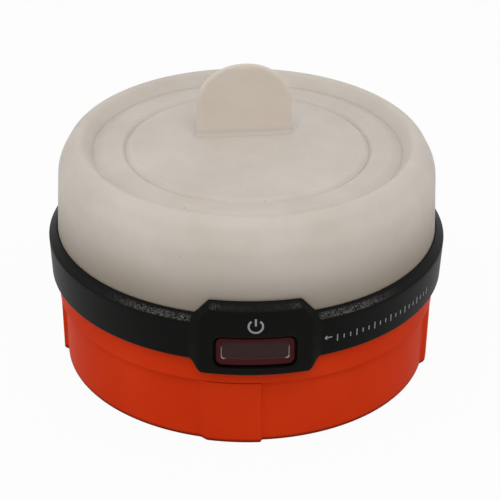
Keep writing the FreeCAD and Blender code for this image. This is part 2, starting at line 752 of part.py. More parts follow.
def coil_point(turn, radius, rise):
    """Point and direction on a helix about X after some turns."""
    angle = 2 * math.pi * turn
    point = Vec(rise * turn, radius * math.cos(angle), radius * math.sin(angle))
    way = Vec(rise / (2 * math.pi), -radius * math.sin(angle), radius * math.cos(angle))
    return point, way.normalize()


def tangent_arc(start, corner, end):
    """Arc from start to end that touches both lines to the corner between them."""
    middle = (start + end) / 2
    half_chord = (end - start).Length / 2
    lean = math.acos(min(1.0, half_chord / (corner - start).Length))
    towards = (corner - middle).normalize()
    return Part.Arc(start, middle + towards * half_chord * math.tan(lean / 2), end).toShape()


def coil_wire(radius, rise, turns):
    """Helix about X as pairs of tangent arcs, a quarter turn for each pair."""
    edges = []
    for i in range(4 * turns):
        a, way_a = coil_point(i / 4, radius, rise)
        b, way_b = coil_point((i + 1) / 4, radius, rise)
        across = b - a
        open_angle = 2 * (1 - way_a.dot(way_b))
        drift = across.dot(way_a + way_b)
        reach = (math.sqrt(drift ** 2 + open_angle * across.dot(across)) - drift) / open_angle
        corner_a = a + way_a * reach
        corner_b = b - way_b * reach
        join = (corner_a + corner_b) / 2
        edges.append(tangent_arc(a, corner_a, join))
        edges.append(tangent_arc(join, corner_b, b))
    return Part.Wire(edges)


def coil_self_gap(radius, rise, turns):
    """Least gap between neighbouring turns of the coil, measured on points a turn apart."""
    samples = 48
    gaps = []
    for i in range(samples * (turns - 1) + 1):
        here = coil_point(i / samples, radius, rise)[0]
        others = [coil_point((i + samples + k) / samples, radius, rise)[0] for k in range(-12, 13)]
        gaps.append(min((here - other).Length for other in others))
    return min(gaps) - SPRING_WIRE


def make_contact_springs():
    """Coil spring at each cell's negative end, one solid each."""
    radius = (SPRING_D - SPRING_WIRE) / 2
    rise = (SPRING_L - SPRING_WIRE) / SPRING_TURNS
    path = coil_wire(radius, rise, SPRING_TURNS)
    start, way = coil_point(0, radius, rise)
    section = Part.Wire([Part.makeCircle(SPRING_WIRE / 2, start, way)])
    coil = path.makePipeShell([section], True, False)
    print("spring: least gap between turns", round(coil_self_gap(radius, rise, SPRING_TURNS), 3))
    print("spring: volume", round(coil.Volume, 3), "against", round(path.Length * section_area(), 3))
    springs = []
    for i in range(CELL_COUNT):
        spring = coil.copy()
        spring.translate(Vec(-CONTACT_FACE + SPRING_WIRE / 2, 0, 0))
        if cell_way(i) < 0:
            spring.rotate(Vec(0, 0, 0), UP, 180.0)
        spring.translate(Vec(0, cell_y(i), CELL_Z))
        springs.append(spring)
    return Part.makeCompound(springs)


def section_area():
    """Area of the spring wire's section."""
    return math.pi * SPRING_WIRE ** 2 / 4


def make_lead_wire(name):
    """Straight lead from an end plate up through the bulkhead to the LED board."""
    x, y = lead_places()[name]
    return post(x, y, CELL_Z + PLATE_SIDE / 2 - LEAD_OVERLAP, BOARD_Z, LEAD_D / 2)


def make_globe_skirt():
    """Outer section of the globe: clamped flange, leaning wall, shoulder, crest and inner lip."""
    wall_in = STRIP_R - GLOBE_WALL
    skirt = turned([
        (SHELF_IN_R, SHELF_TOP, 0),
        (STRIP_R, SHELF_TOP, 0),
        (STRIP_R, BAND_TOP, 0),
        (WALL_TOP_R, WALL_TOP, WALL_ROUND),
        (SHOULDER_R, SHOULDER_Z, SHOULDER_ROUND),
        (CREST_R, CREST_Z, CREST_ROUND),
        (LIP_R, LIP_Z, GLOBE_EDGE),
        (LIP_R, LIP_Z - LIP_T, GLOBE_EDGE),
        (CREST_R, CREST_Z - LIP_T, CREST_ROUND),
        (SHOULDER_R - GLOBE_WALL / 2, SHOULDER_Z - GLOBE_WALL, SHOULDER_ROUND),
        (WALL_TOP_R - GLOBE_WALL, WALL_TOP, WALL_ROUND),
        (wall_in, FLANGE_TOP, 0),
        (SHELF_IN_R, FLANGE_TOP, 0),
    ])
    hole = SCREW_D / 2 + SCREW_PASS
    return skirt.cut([post(x, y, SHELF_TOP, FLANGE_TOP, hole) for x, y in clamp_screw_places()])


def make_globe_clamp():
    """Ring that presses the globe's flange on to the shelf."""
    clamp = ring(SHELF_IN_R, CLAMP_R, FLANGE_TOP, FLANGE_TOP + CLAMP_T)
    hole = SCREW_D / 2 + SCREW_PASS
    top = FLANGE_TOP + CLAMP_T
    return clamp.cut([post(x, y, FLANGE_TOP, top, hole) for x, y in clamp_screw_places()])


def make_clamp_screws():
    """Screws through clamp and flange into the shelf's bosses, one solid each."""
    seat = FLANGE_TOP + CLAMP_T
    return Part.makeCompound([screw_down(x, y, seat, clamp_screw_length()) for x, y in clamp_screw_places()])


def make_globe_mid_ring():
    """Middle section of the globe: ring with a creased top and a hanging outer wall."""
    crease_r = MID_R - MID_SLOPE_W
    wall_in = MID_R - SECTION_T
    under = LIP_Z - MID_SLOPE_H - SECTION_T
    return turned([
        (MID_R, SECTION_FOOT, 0),
        (MID_R, LIP_Z - MID_SLOPE_H, GLOBE_EDGE),
        (crease_r, LIP_Z, MID_SLOPE_W),
        (MID_IN_R, LIP_Z, GLOBE_EDGE),
        (MID_IN_R, under, 0),
        (wall_in, under, GLOBE_EDGE),
        (wall_in, SECTION_FOOT, 0),
    ])


def make_globe_cap():
    """Inner section of the globe: flat disc with a hanging wall."""
    wall_in = CAP_R - SECTION_T
    under = CAP_TOP - SECTION_T
    return turned([
        (CAP_R, SECTION_FOOT, 0),
        (CAP_R, CAP_TOP, GLOBE_EDGE),
        (0, CAP_TOP, 0),
        (0, under, 0),
        (wall_in, under, GLOBE_EDGE),
        (wall_in, SECTION_FOOT, 0),
    ])


def make_pull_tab():
    """D-shaped tab with an oval crown, on a round root about which it bends, turned about Z."""
    half = TAB_W / 2
    crown_z = CAP_TOP + TAB_SIDE_H
    front = TAB_Y - TAB_T / 2
    centre = Vec(0, front, crown_z)
    oval = Part.Ellipse(Vec(half, front, crown_z), Vec(0, front, crown_z + TAB_CROWN), centre)
    crown = Part.ArcOfEllipse(oval, 0, math.pi).toShape()
    low_left = Vec(-half, front, TAB_AXIS_Z)
    low_right = Vec(half, front, TAB_AXIS_Z)
    sides = Part.makePolygon([Vec(-half, front, crown_z), low_left, low_right, Vec(half, front, crown_z)])
    outline = Part.Wire([crown] + sides.Edges)
    slab = Part.Face(outline).extrude(Vec(0, TAB_T, 0))
    rim = [e for e in slab.Edges if e.BoundBox.YLength < TAB_EDGE and e.BoundBox.ZLength > TAB_EDGE]
    slab = slab.makeFillet(TAB_EDGE, rim)
    root_half = half - TAB_EDGE
    root = Part.makeCylinder(TAB_T / 2, 2 * root_half, Vec(-root_half, TAB_Y, TAB_AXIS_Z), ALONG)
    tab = slab.fuse(root).removeSplitter()
    tab.rotate(Vec(0, 0, 0), UP, TAB_TURN)
    return tab


def all_pieces():
    """Every piece of the lantern by name."""
    pieces = {
        "base_cup": make_base_cup(),
        "housing": make_housing(),
        "base_seal": make_base_seal(),
        "trim_band": make_trim_band(),
        "button_cap": make_button_cap(),
        "switch_plunger": make_switch_plunger(),
        "tact_switch": make_tact_switch(),
        "switch_board": make_switch_board(),
        "indicator_led": make_indicator_led(),
        "switch_lead": make_switch_lead(),
        "led_board": make_led_board(),
        "leds": make_leds(),
        "reflector": make_reflector(),
        "board_screws": make_board_screws(),
        "battery_tray": make_battery_tray(),
        "tray_screws": make_tray_screws(),
        "contact_plates": make_contact_plates(),
        "contact_springs": make_contact_springs(),
        "lead_wire_positive": make_lead_wire("positive"),
        "lead_wire_negative": make_lead_wire("negative"),
        "globe_skirt": make_globe_skirt(),
        "globe_clamp": make_globe_clamp(),
        "clamp_screws": make_clamp_screws(),
        "globe_mid_ring": make_globe_mid_ring(),
        "globe_cap": make_globe_cap(),
        "pull_tab": make_pull_tab(),
    }
    for i in range(CELL_COUNT):
        pieces[f"aa_cell_{i + 1}"] = make_aa_cell(i)
    return pieces


def main():
    """Build every piece, print what it measures and write it."""
    os.makedirs("parts", exist_ok=True)
    for name, shape in all_pieces().items():
        box = shape.BoundBox
        size = f"{box.XLength:.2f} x {box.YLength:.2f} x {box.ZLength:.2f}"
        print(f"{name}: {len(shape.Solids)} solids, {size}, {shape.Volume:.1f} mm3, valid {shape.isValid()}")
        shape.exportStep(f"parts/{name}.step")
    print(f"strip radius {STRIP_R:.2f}, ridge {RIDGE_R:.2f}, plate {PLATE_R:.2f}, button {BUTTON_R:.2f}")
    print(f"lip {LIP_R:.2f}, mid ring {MID_R:.2f}, cap {CAP_R:.2f}, tab axis {TAB_AXIS_Z:.2f}")


main()
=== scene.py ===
"""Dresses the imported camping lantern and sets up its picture.

Sizes are in millimetres in the classes and become metres in the meshes. +Z is up and the front plate
faces -Y. A front angle is measured from -Y towards +X.
"""
import logging
import math
from dataclasses import dataclass, field
from enum import Enum

import bmesh
import bpy
import numpy as np
from mathutils import Matrix, Vector


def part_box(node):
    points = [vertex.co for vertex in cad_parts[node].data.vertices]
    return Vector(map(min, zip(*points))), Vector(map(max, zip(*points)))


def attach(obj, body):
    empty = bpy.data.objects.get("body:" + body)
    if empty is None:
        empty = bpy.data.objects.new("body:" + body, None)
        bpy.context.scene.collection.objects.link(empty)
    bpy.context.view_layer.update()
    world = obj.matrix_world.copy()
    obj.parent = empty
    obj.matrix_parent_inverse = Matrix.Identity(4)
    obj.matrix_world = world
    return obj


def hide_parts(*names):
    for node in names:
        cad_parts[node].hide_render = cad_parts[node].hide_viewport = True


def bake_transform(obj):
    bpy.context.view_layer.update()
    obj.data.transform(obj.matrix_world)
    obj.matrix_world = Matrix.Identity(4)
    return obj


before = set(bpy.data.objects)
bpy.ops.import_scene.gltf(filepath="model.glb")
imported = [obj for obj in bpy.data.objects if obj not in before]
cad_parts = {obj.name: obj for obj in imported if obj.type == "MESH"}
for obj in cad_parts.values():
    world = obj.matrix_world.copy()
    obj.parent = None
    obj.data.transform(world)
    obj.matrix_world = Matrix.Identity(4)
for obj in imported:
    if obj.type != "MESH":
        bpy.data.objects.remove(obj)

LOG = logging.getLogger("lantern")
MM = 0.001
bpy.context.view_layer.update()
WHITE = (1.0, 1.0, 1.0, 1.0)
# Blender's noise seldom leaves this span, so ranges that read it start and end here
NOISE_SPAN = {"From Min": 0.3, "From Max": 0.7}
# Points nearer than the first are welded, and edges shorter than the second are dissolved
WELD_MM = 0.001
SLIVER_MM = 0.0005
# An arc takes up at most this share of the shorter run beside it
ARC_SHARE = 0.45


class Body(Enum):
    """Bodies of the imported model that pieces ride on."""

    BASE = "base"
    HEAD = "head"
    BUTTON = "button"
    GLOBE_MID = "globe_mid"
    GLOBE_TOP = "globe_top"
    TAB = "tab"


class Slot(Enum):
    """Material slots of the record."""

    ORANGE = "orange_plastic"
    BLACK = "black_plastic"
    SILICONE = "silicone"
    BUTTON = "button_red"
    PRINT = "lead_grey"


def linear(hex_colour: str) -> tuple[float, float, float, float]:
    """Turns an sRGB hex colour into linear RGBA.

    Args:
        hex_colour: Six hex digits after a hash sign.

    Returns:
        Linear red, green and blue, and an alpha of 1.
    """
    srgb = np.array([int(hex_colour[i:i + 2], 16) / 255 for i in (1, 3, 5)])
    value = np.where(srgb <= 0.04045, srgb / 12.92, ((srgb + 0.055) / 1.055) ** 2.4)
    return (float(value[0]), float(value[1]), float(value[2]), 1.0)


def add(tree: bpy.types.NodeTree, kind: str, settings: dict | None = None,
        inputs: dict | None = None) -> bpy.types.Node:
    """Adds a node with its settings and links.

    Args:
        tree: The node tree that takes the node.
        kind: Blender's name of the node type.
        settings: Properties to set on the node.
        inputs: Values by input name or number; an output socket is linked, anything else is set.

    Returns:
        The new node.
    """
    node = tree.nodes.new(kind)
    for name, value in (settings or {}).items():
        setattr(node, name, value)
    for name, value in (inputs or {}).items():
        if isinstance(value, bpy.types.NodeSocket):
            tree.links.new(value, node.inputs[name])
        else:
            node.inputs[name].default_value = value
    return node


@dataclass(frozen=True)
class Finish:
    """A surface finish that becomes one material."""

    name: str

    def material(self) -> bpy.types.Material:
        """Builds the material at its first use.

        Returns:
            The finish as a Blender material.
        """
        known = bpy.data.materials.get(self.name)
        if known:
            return known
        made = bpy.data.materials.new(self.name)
        made.use_nodes = True
        tree = made.node_tree
        tree.nodes.clear()
        shader = add(tree, "ShaderNodeBsdfPrincipled")
        add(tree, "ShaderNodeOutputMaterial", None, {"Surface": shader.outputs["BSDF"]})
        place = add(tree, "ShaderNodeTexCoord").outputs["Object"]
        self.dress(tree, shader, place)
        return made

    def dress(self, tree: bpy.types.NodeTree, shader: bpy.types.Node, place: bpy.types.NodeSocket) -> None:
        """Adds the finish's own nodes.

        Args:
            tree: The material's node tree.
            shader: The material's Principled BSDF.
            place: Object coordinates, in metres.
        """
        raise NotImplementedError

    def roughen(self, tree: bpy.types.NodeTree, shader: bpy.types.Node, pattern: bpy.types.NodeSocket,
                gloss: tuple[float, float], strength: float = 0.0, depth_mm: float = 0.0) -> None:
        """Lets a noise change the gloss and, where it has a strength, the height of the surface.

        Args:
            tree: The material's node tree.
            shader: The material's Principled BSDF.
            pattern: The noise.
            gloss: Roughness at the noise's low and high end.
            strength: Strength of the bump.
            depth_mm: Depth of the bump.
        """
        rough = add(tree, "ShaderNodeMapRange", None, {
            "Value": pattern, **NOISE_SPAN, "To Min": gloss[0], "To Max": gloss[1]})
        tree.links.new(rough.outputs["Result"], shader.inputs["Roughness"])
        if strength:
            bump = add(tree, "ShaderNodeBump", None, {
                "Strength": strength, "Distance": depth_mm * MM, "Height": pattern})
            tree.links.new(bump.outputs["Normal"], shader.inputs["Normal"])


@dataclass(frozen=True)
class MouldedAbs(Finish):
    """Injection-moulded ABS: a spark-eroded mould leaves a fine even grain and a satin gloss."""

    dark: str
    light: str
    roughness: float = 0.42
    roughness_spread: float = 0.06
    specular: float = 0.35
    ior: float = 1.53
    cloud_mm: float = 22.0
    grain_mm: float = 0.35
    grain_depth_mm: float = 0.012
    grain_strength: float = 0.5
    stipple_mm: float = 0.0
    stipple_depth_mm: float = 0.0
    stipple_highlight_tone: str = "#000000"
    stroke_span: tuple[float, float] = (0.01, 0.08)
    foot_shade_mm: float = 0.0
    foot_shade_full_mm: float = 0.6
    foot_shade_share: float = 0.85
    foot_shade_tone: str = "#000000"

    def dress(self, tree: bpy.types.NodeTree, shader: bpy.types.Node, place: bpy.types.NodeSocket) -> None:
        """Adds slow tone changes, painted shade at the foot, the mould's grain and, where marked, a coarse
        stipple with painted highlights.

        Args:
            tree: The material's node tree.
            shader: The material's Principled BSDF.
            place: Object coordinates, in metres.
        """
        shader.inputs["IOR"].default_value = self.ior
        shader.inputs["Specular IOR Level"].default_value = self.specular
        cloud = add(tree, "ShaderNodeTexNoise", None, {
            "Vector": place, "Scale": 1 / (self.cloud_mm * MM), "Detail": 3.0})
        share = add(tree, "ShaderNodeMapRange", None, {
            "Value": cloud.outputs["Fac"], **NOISE_SPAN})
        tone = add(tree, "ShaderNodeMix", {"data_type": "RGBA"}, {
            0: share.outputs["Result"], 6: linear(self.dark), 7: linear(self.light)}).outputs[2]
        if self.foot_shade_mm:
            # Painted shade: the edge that stands on the ground is darkened in place of the shadow on its
            # rounding
            height = add(tree, "ShaderNodeSeparateXYZ", None, {"Vector": place}).outputs["Z"]
            foot_shade = add(tree, "ShaderNodeMapRange", None, {
                "Value": height, "From Min": self.foot_shade_full_mm * MM, "From Max": self.foot_shade_mm * MM,
                "To Min": self.foot_shade_share, "To Max": 0.0})
            tone = add(tree, "ShaderNodeMix", {"data_type": "RGBA"}, {
                0: foot_shade.outputs["Result"], 6: tone, 7: linear(self.foot_shade_tone)}).outputs[2]
        grain = add(tree, "ShaderNodeTexNoise", None, {
            "Vector": place, "Scale": 1 / (self.grain_mm * MM), "Detail": 2.0})
        gloss = (self.roughness - self.roughness_spread, self.roughness + self.roughness_spread)
        self.roughen(tree, shader, grain.outputs["Fac"], gloss, self.grain_strength, self.grain_depth_mm)
        if self.stipple_mm:
            marked = add(tree, "ShaderNodeAttribute", {"attribute_name": "stipple"}).outputs["Fac"]
            pits = add(tree, "ShaderNodeTexNoise", None, {
                "Vector": place, "Scale": 1 / (self.stipple_mm * MM), "Detail": 2.0, "Roughness": 0.65})
            # Where the noise crosses its middle there is a crest, so the stipple is short crossing strokes
            off = add(tree, "ShaderNodeMath", {"operation": "SUBTRACT"}, {0: pits.outputs["Fac"], 1: 0.5})
            away = add(tree, "ShaderNodeMath", {"operation": "ABSOLUTE"}, {0: off.outputs["Value"]})
            peaks = add(tree, "ShaderNodeMapRange", None, {
                "Value": away.outputs["Value"], "From Min": self.stroke_span[0],
                "From Max": self.stroke_span[1], "To Min": 1.0, "To Max": 0.0})
            shown = add(tree, "ShaderNodeMath", {"operation": "MULTIPLY"}, {
                0: peaks.outputs["Result"], 1: marked})
            # Painted highlight: the stipple's crests are lightened towards a pale grey
            tone = add(tree, "ShaderNodeMix", {"data_type": "RGBA"}, {
                0: shown.outputs["Value"], 6: tone, 7: linear(self.stipple_highlight_tone)}).outputs[2]
            grained = shader.inputs["Normal"].links[0].from_socket
            bump = add(tree, "ShaderNodeBump", None, {
                "Strength": marked, "Distance": self.stipple_depth_mm * MM,
                "Height": peaks.outputs["Result"], "Normal": grained})
            tree.links.new(bump.outputs["Normal"], shader.inputs["Normal"])
        tree.links.new(tone, shader.inputs["Base Color"])


@dataclass(frozen=True)
class Silicone(Finish):
    """Moulded silicone rubber: milky and matt, light goes a little way in, and it picks up dust."""

    dark: str
    light: str
    dust: str
    roughness: float = 0.55
    roughness_spread: float = 0.08
    specular: float = 0.4
    ior: float = 1.41
    bleed: tuple[float, float, float] = (1.0, 0.85, 0.72)
    bleed_mm: float = 3.0
    cloud_mm: float = 18.0
    pore_mm: float = 0.9
    pore_depth_mm: float = 0.03
    pore_strength: float = 0.35
    speck_spacing_mm: float = 6.0
    speck_mm: float = 0.3
    speck_share: float = 0.55
    # Painted shade: the tone the silicone darkens to below these heights
    shade: str = "#857A6D"
    shade_mm: tuple[float, float] = (36.5, 53.5)
    shade_share: float = 0.9
    depth: float = 0.35

    def dress(self, tree: bpy.types.NodeTree, shader: bpy.types.Node, place: bpy.types.NodeSocket) -> None:
        """Adds milky clouds, painted shade low on the wall, a soft pored surface and scattered dust specks.

        Args:
            tree: The material's node tree.
            shader: The material's Principled BSDF.
            place: Object coordinates, in metres.
        """
        shader.inputs["IOR"].default_value = self.ior
        shader.inputs["Specular IOR Level"].default_value = self.specular
        shader.inputs["Subsurface Weight"].default_value = self.depth
        shader.inputs["Subsurface Radius"].default_value = self.bleed
        shader.inputs["Subsurface Scale"].default_value = self.bleed_mm * MM
        cloud = add(tree, "ShaderNodeTexNoise", None, {
            "Vector": place, "Scale": 1 / (self.cloud_mm * MM), "Detail": 4.0, "Roughness": 0.6})
        share = add(tree, "ShaderNodeMapRange", None, {
            "Value": cloud.outputs["Fac"], **NOISE_SPAN})
        milk = add(tree, "ShaderNodeMix", {"data_type": "RGBA"}, {
            0: share.outputs["Result"], 6: linear(self.dark), 7: linear(self.light)})
        # Painted shade: the silicone darkens towards the shade tone low on the wall, near the belt
        height = add(tree, "ShaderNodeSeparateXYZ", None, {"Vector": place}).outputs["Z"]
        low, high = self.shade_mm
        painted_shade = add(tree, "ShaderNodeMapRange", {"interpolation_type": "SMOOTHSTEP"}, {
            "Value": height, "From Min": low * MM, "From Max": high * MM,
            "To Min": self.shade_share, "To Max": 0.0})
        milk = add(tree, "ShaderNodeMix", {"data_type": "RGBA"}, {
            0: painted_shade.outputs["Result"], 6: milk.outputs[2], 7: linear(self.shade)})
        cells = add(tree, "ShaderNodeTexVoronoi", None, {
            "Vector": place, "Scale": 1 / (self.speck_spacing_mm * MM)})
        # Voronoi distance is in cells, so a speck's size is divided by the spacing
        near = add(tree, "ShaderNodeMapRange", None, {
            "Value": cells.outputs["Distance"], "From Min": 0.0,
            "From Max": self.speck_mm / self.speck_spacing_mm, "To Min": self.speck_share, "To Max": 0.0})
        dusty = add(tree, "ShaderNodeMix", {"data_type": "RGBA"}, {
            0: near.outputs["Result"], 6: milk.outputs[2], 7: linear(self.dust)})
        pores = add(tree, "ShaderNodeTexNoise", None, {
            "Vector": place, "Scale": 1 / (self.pore_mm * MM), "Detail": 3.0})
        gloss = (self.roughness - self.roughness_spread, self.roughness + self.roughness_spread)
        self.roughen(tree, shader, pores.outputs["Fac"], gloss, self.pore_strength, self.pore_depth_mm)
        tree.links.new(dusty.outputs[2], shader.inputs["Base Color"])


@dataclass(frozen=True)
class SmokyPolycarbonate(Finish):
    """Dark red see-through polycarbonate: a polished clear skin over a smoky depth."""

    border: str
    face: str
    glint: str
    ior: float = 1.58
    specular: float = 0.05
    coat: float = 0.06
    coat_roughness: float = 0.2
    smoke_share: tuple[float, float] = (0.8, 1.0)
    gloss: tuple[float, float] = (0.28, 0.4)
    cloud_mm: float = 3.0

    def dress(self, tree: bpy.types.NodeTree, shader: bpy.types.Node, place: bpy.types.NodeSocket) -> None:
        """Adds a smokier sunk face inside a redder border, with a painted highlight at its ends, under a
        clear coat.

        Args:
            tree: The material's node tree.
            shader: The material's Principled BSDF.
            place: Object coordinates, in metres.
        """
        shader.inputs["IOR"].default_value = self.ior
        shader.inputs["Specular IOR Level"].default_value = self.specular
        shader.inputs["Coat Weight"].default_value = self.coat
        shader.inputs["Coat Roughness"].default_value = self.coat_roughness
        marked = add(tree, "ShaderNodeAttribute", {"attribute_name": "face"}).outputs["Fac"]
        smoke = add(tree, "ShaderNodeTexNoise", None, {
            "Vector": place, "Scale": 1 / (self.cloud_mm * MM), "Detail": 2.0})
        drift = add(tree, "ShaderNodeMapRange", None, {
            "Value": smoke.outputs["Fac"], **NOISE_SPAN,
            "To Min": self.smoke_share[0], "To Max": self.smoke_share[1]})
        share = add(tree, "ShaderNodeMath", {"operation": "MULTIPLY"}, {
            0: drift.outputs["Result"], 1: marked})
        tone = add(tree, "ShaderNodeMix", {"data_type": "RGBA"}, {
            0: share.outputs["Value"], 6: linear(self.border), 7: linear(self.face)})
        # Painted highlight at the sunk face's upright ends, in place of light that leaves the clear skin
        # there
        lit = add(tree, "ShaderNodeAttribute", {"attribute_name": "glint"}).outputs["Fac"]
        tone = add(tree, "ShaderNodeMix", {"data_type": "RGBA"}, {
            0: lit, 6: tone.outputs[2], 7: linear(self.glint)})
        self.roughen(tree, shader, smoke.outputs["Fac"], self.gloss)
        tree.links.new(tone.outputs[2], shader.inputs["Base Color"])


@dataclass(frozen=True)
class PlatedSteel(Finish):
    """Nickel-plated steel: bright and faintly yellow, with fine draw marks along the strip or wire."""

    light: str = "#C9C5BC"
    dark: str = "#A9A59C"
    mark_mm: float = 0.12
    mark_stretch: float = 0.06
    mark_depth_mm: float = 0.004
    mark_strength: float = 0.3
    gloss: tuple[float, float] = (0.22, 0.38)

    def dress(self, tree: bpy.types.NodeTree, shader: bpy.types.Node, place: bpy.types.NodeSocket) -> None:
        """Adds draw marks stretched along X, in tone, gloss and height.

        Args:
            tree: The material's node tree.
            shader: The material's Principled BSDF.
            place: Object coordinates, in metres.
        """
        shader.inputs["Metallic"].default_value = 1.0
        along = add(tree, "ShaderNodeMapping", None, {
            "Vector": place, "Scale": (self.mark_stretch, 1.0, 1.0)})
        marks = add(tree, "ShaderNodeTexNoise", None, {
            "Vector": along.outputs["Vector"], "Scale": 1 / (self.mark_mm * MM), "Detail": 2.0})
        tone = add(tree, "ShaderNodeMix", {"data_type": "RGBA"}, {
            0: marks.outputs["Fac"], 6: linear(self.dark), 7: linear(self.light)})
        self.roughen(tree, shader, marks.outputs["Fac"], self.gloss, self.mark_strength, self.mark_depth_mm)
        tree.links.new(tone.outputs[2], shader.inputs["Base Color"])


@dataclass(frozen=True)
class SolderMask(Finish):
    """Glass-epoxy board under green solder mask: copper tracks show as paler raised lines."""

    mask: str = "#1E5A34"
    track: str = "#3C8050"
    track_mm: float = 2.4
    track_span: tuple[float, float] = (0.4, 0.46)
    track_depth_mm: float = 0.03
    track_strength: float = 0.4
    gloss: tuple[float, float] = (0.3, 0.42)
    gloss_reach: float = 0.6
    specular: float = 0.5

    def dress(self, tree: bpy.types.NodeTree, shader: bpy.types.Node, place: bpy.types.NodeSocket) -> None:
        """Adds bent tracks under the mask, a little raised.

        Args:
            tree: The material's node tree.
            shader: The material's Principled BSDF.
            place: Object coordinates, in metres.
        """
        shader.inputs["Specular IOR Level"].default_value = self.specular
        cells = add(tree, "ShaderNodeTexVoronoi", {"distance": "CHEBYCHEV", "feature": "F1"}, {
            "Vector": place, "Scale": 1 / (2 * self.track_mm * MM), "Randomness": 0.75})
        line = add(tree, "ShaderNodeMapRange", None, {
            "Value": cells.outputs["Distance"], "From Min": self.track_span[0],
            "From Max": self.track_span[1]})
        tone = add(tree, "ShaderNodeMix", {"data_type": "RGBA"}, {
            0: line.outputs["Result"], 6: linear(self.mask), 7: linear(self.track)})
        rough = add(tree, "ShaderNodeMapRange", None, {
            "Value": cells.outputs["Distance"], "From Min": 0.0, "From Max": self.gloss_reach,
            "To Min": self.gloss[0], "To Max": self.gloss[1]})
        bump = add(tree, "ShaderNodeBump", None, {
            "Strength": self.track_strength, "Distance": self.track_depth_mm * MM,
            "Height": line.outputs["Result"]})
        tree.links.new(tone.outputs[2], shader.inputs["Base Color"])
        tree.links.new(rough.outputs["Result"], shader.inputs["Roughness"])
        tree.links.new(bump.outputs["Normal"], shader.inputs["Normal"])


@dataclass(frozen=True)
class CellSleeve(Finish):
    """Printed shrink sleeve of a cell: a dark barrel, a copper-toned shoulder and bare metal ends."""

    way: float
    middle_mm: float
    barrel: str = "#2B2E33"
    shoulder: str = "#A8683A"
    end: str = "#BDB9B0"
    copper_mm: tuple[float, float] = (9.9, 10.1)
    bare_mm: tuple[float, float] = (23.4, 23.5)
    ripple_mm: float = 1.2
    ripple_depth_mm: float = 0.01
    ripple_strength: float = 0.3
    gloss: tuple[float, float] = (0.22, 0.34)

    def dress(self, tree: bpy.types.NodeTree, shader: bpy.types.Node, place: bpy.types.NodeSocket) -> None:
        """Adds the bands along the cell, which count from its middle towards its positive end.

        Args:
            tree: The material's node tree.
            shader: The material's Principled BSDF.
            place: Object coordinates, in metres.
        """
        turned_place = add(tree, "ShaderNodeMapping", None, {
            "Vector": place, "Location": (-self.way * self.middle_mm * MM, 0.0, 0.0),
            "Scale": (self.way, 1.0, 1.0)})
        along = add(tree, "ShaderNodeSeparateXYZ", None, {
            "Vector": turned_place.outputs["Vector"]}).outputs["X"]
        copper = add(tree, "ShaderNodeMapRange", None, {
            "Value": along, "From Min": self.copper_mm[0] * MM, "From Max": self.copper_mm[1] * MM})
        reach = add(tree, "ShaderNodeMath", {"operation": "ABSOLUTE"}, {0: along})
        bare = add(tree, "ShaderNodeMapRange", None, {
            "Value": reach.outputs["Value"], "From Min": self.bare_mm[0] * MM,
            "From Max": self.bare_mm[1] * MM})
        sleeve = add(tree, "ShaderNodeMix", {"data_type": "RGBA"}, {
            0: copper.outputs["Result"], 6: linear(self.barrel), 7: linear(self.shoulder)})
        tone = add(tree, "ShaderNodeMix", {"data_type": "RGBA"}, {
            0: bare.outputs["Result"], 6: sleeve.outputs[2], 7: linear(self.end)})
        ripple = add(tree, "ShaderNodeTexNoise", None, {
            "Vector": place, "Scale": 1 / (self.ripple_mm * MM), "Detail": 2.0})
        self.roughen(tree, shader, ripple.outputs["Fac"], self.gloss, self.ripple_strength,
                     self.ripple_depth_mm)
        tree.links.new(tone.outputs[2], shader.inputs["Base Color"])
        tree.links.new(bare.outputs["Result"], shader.inputs["Metallic"])


@dataclass(frozen=True)
class Rubber(Finish):
    """Nitrile rubber or a soft lead's sleeve: dull, with a faint bloom."""

    dark: str
    light: str
    bloom_mm: float = 1.5
    bloom_depth_mm: float = 0.01
    bloom_strength: float = 0.3
    roughness: float = 0.6
    roughness_spread: float = 0.08
    ior: float = 1.52

    def dress(self, tree: bpy.types.NodeTree, shader: bpy.types.Node, place: bpy.types.NodeSocket) -> None:
        """Adds a patchy bloom in tone and gloss.

        Args:
            tree: The material's node tree.
            shader: The material's Principled BSDF.
            place: Object coordinates, in metres.
        """
        shader.inputs["IOR"].default_value = self.ior
        bloom = add(tree, "ShaderNodeTexNoise", None, {
            "Vector": place, "Scale": 1 / (self.bloom_mm * MM), "Detail": 4.0})
        tone = add(tree, "ShaderNodeMix", {"data_type": "RGBA"}, {
            0: bloom.outputs["Fac"], 6: linear(self.dark), 7: linear(self.light)})
        gloss = (self.roughness - self.roughness_spread, self.roughness + self.roughness_spread)
        self.roughen(tree, shader, bloom.outputs["Fac"], gloss, self.bloom_strength, self.bloom_depth_mm)
        tree.links.new(tone.outputs[2], shader.inputs["Base Color"])


@dataclass(frozen=True)
class Phosphor(Finish):
    """Phosphor-filled silicone of a white LED: egg yellow under a clear glossy skin."""

    deep: str = "#D9A521"
    pale: str = "#F0CF62"
    grit_mm: float = 0.25
    coat: float = 0.7
    coat_roughness: float = 0.1
    gloss: tuple[float, float] = (0.4, 0.55)

    def dress(self, tree: bpy.types.NodeTree, shader: bpy.types.Node, place: bpy.types.NodeSocket) -> None:
        """Adds phosphor grit under the skin.

        Args:
            tree: The material's node tree.
            shader: The material's Principled BSDF.
            place: Object coordinates, in metres.
        """
        shader.inputs["Coat Weight"].default_value = self.coat
        shader.inputs["Coat Roughness"].default_value = self.coat_roughness
        grit = add(tree, "ShaderNodeTexNoise", None, {
            "Vector": place, "Scale": 1 / (self.grit_mm * MM), "Detail": 3.0})
        tone = add(tree, "ShaderNodeMix", {"data_type": "RGBA"}, {
            0: grit.outputs["Fac"], 6: linear(self.deep), 7: linear(self.pale)})
        self.roughen(tree, shader, grit.outputs["Fac"], self.gloss)
        tree.links.new(tone.outputs[2], shader.inputs["Base Color"])
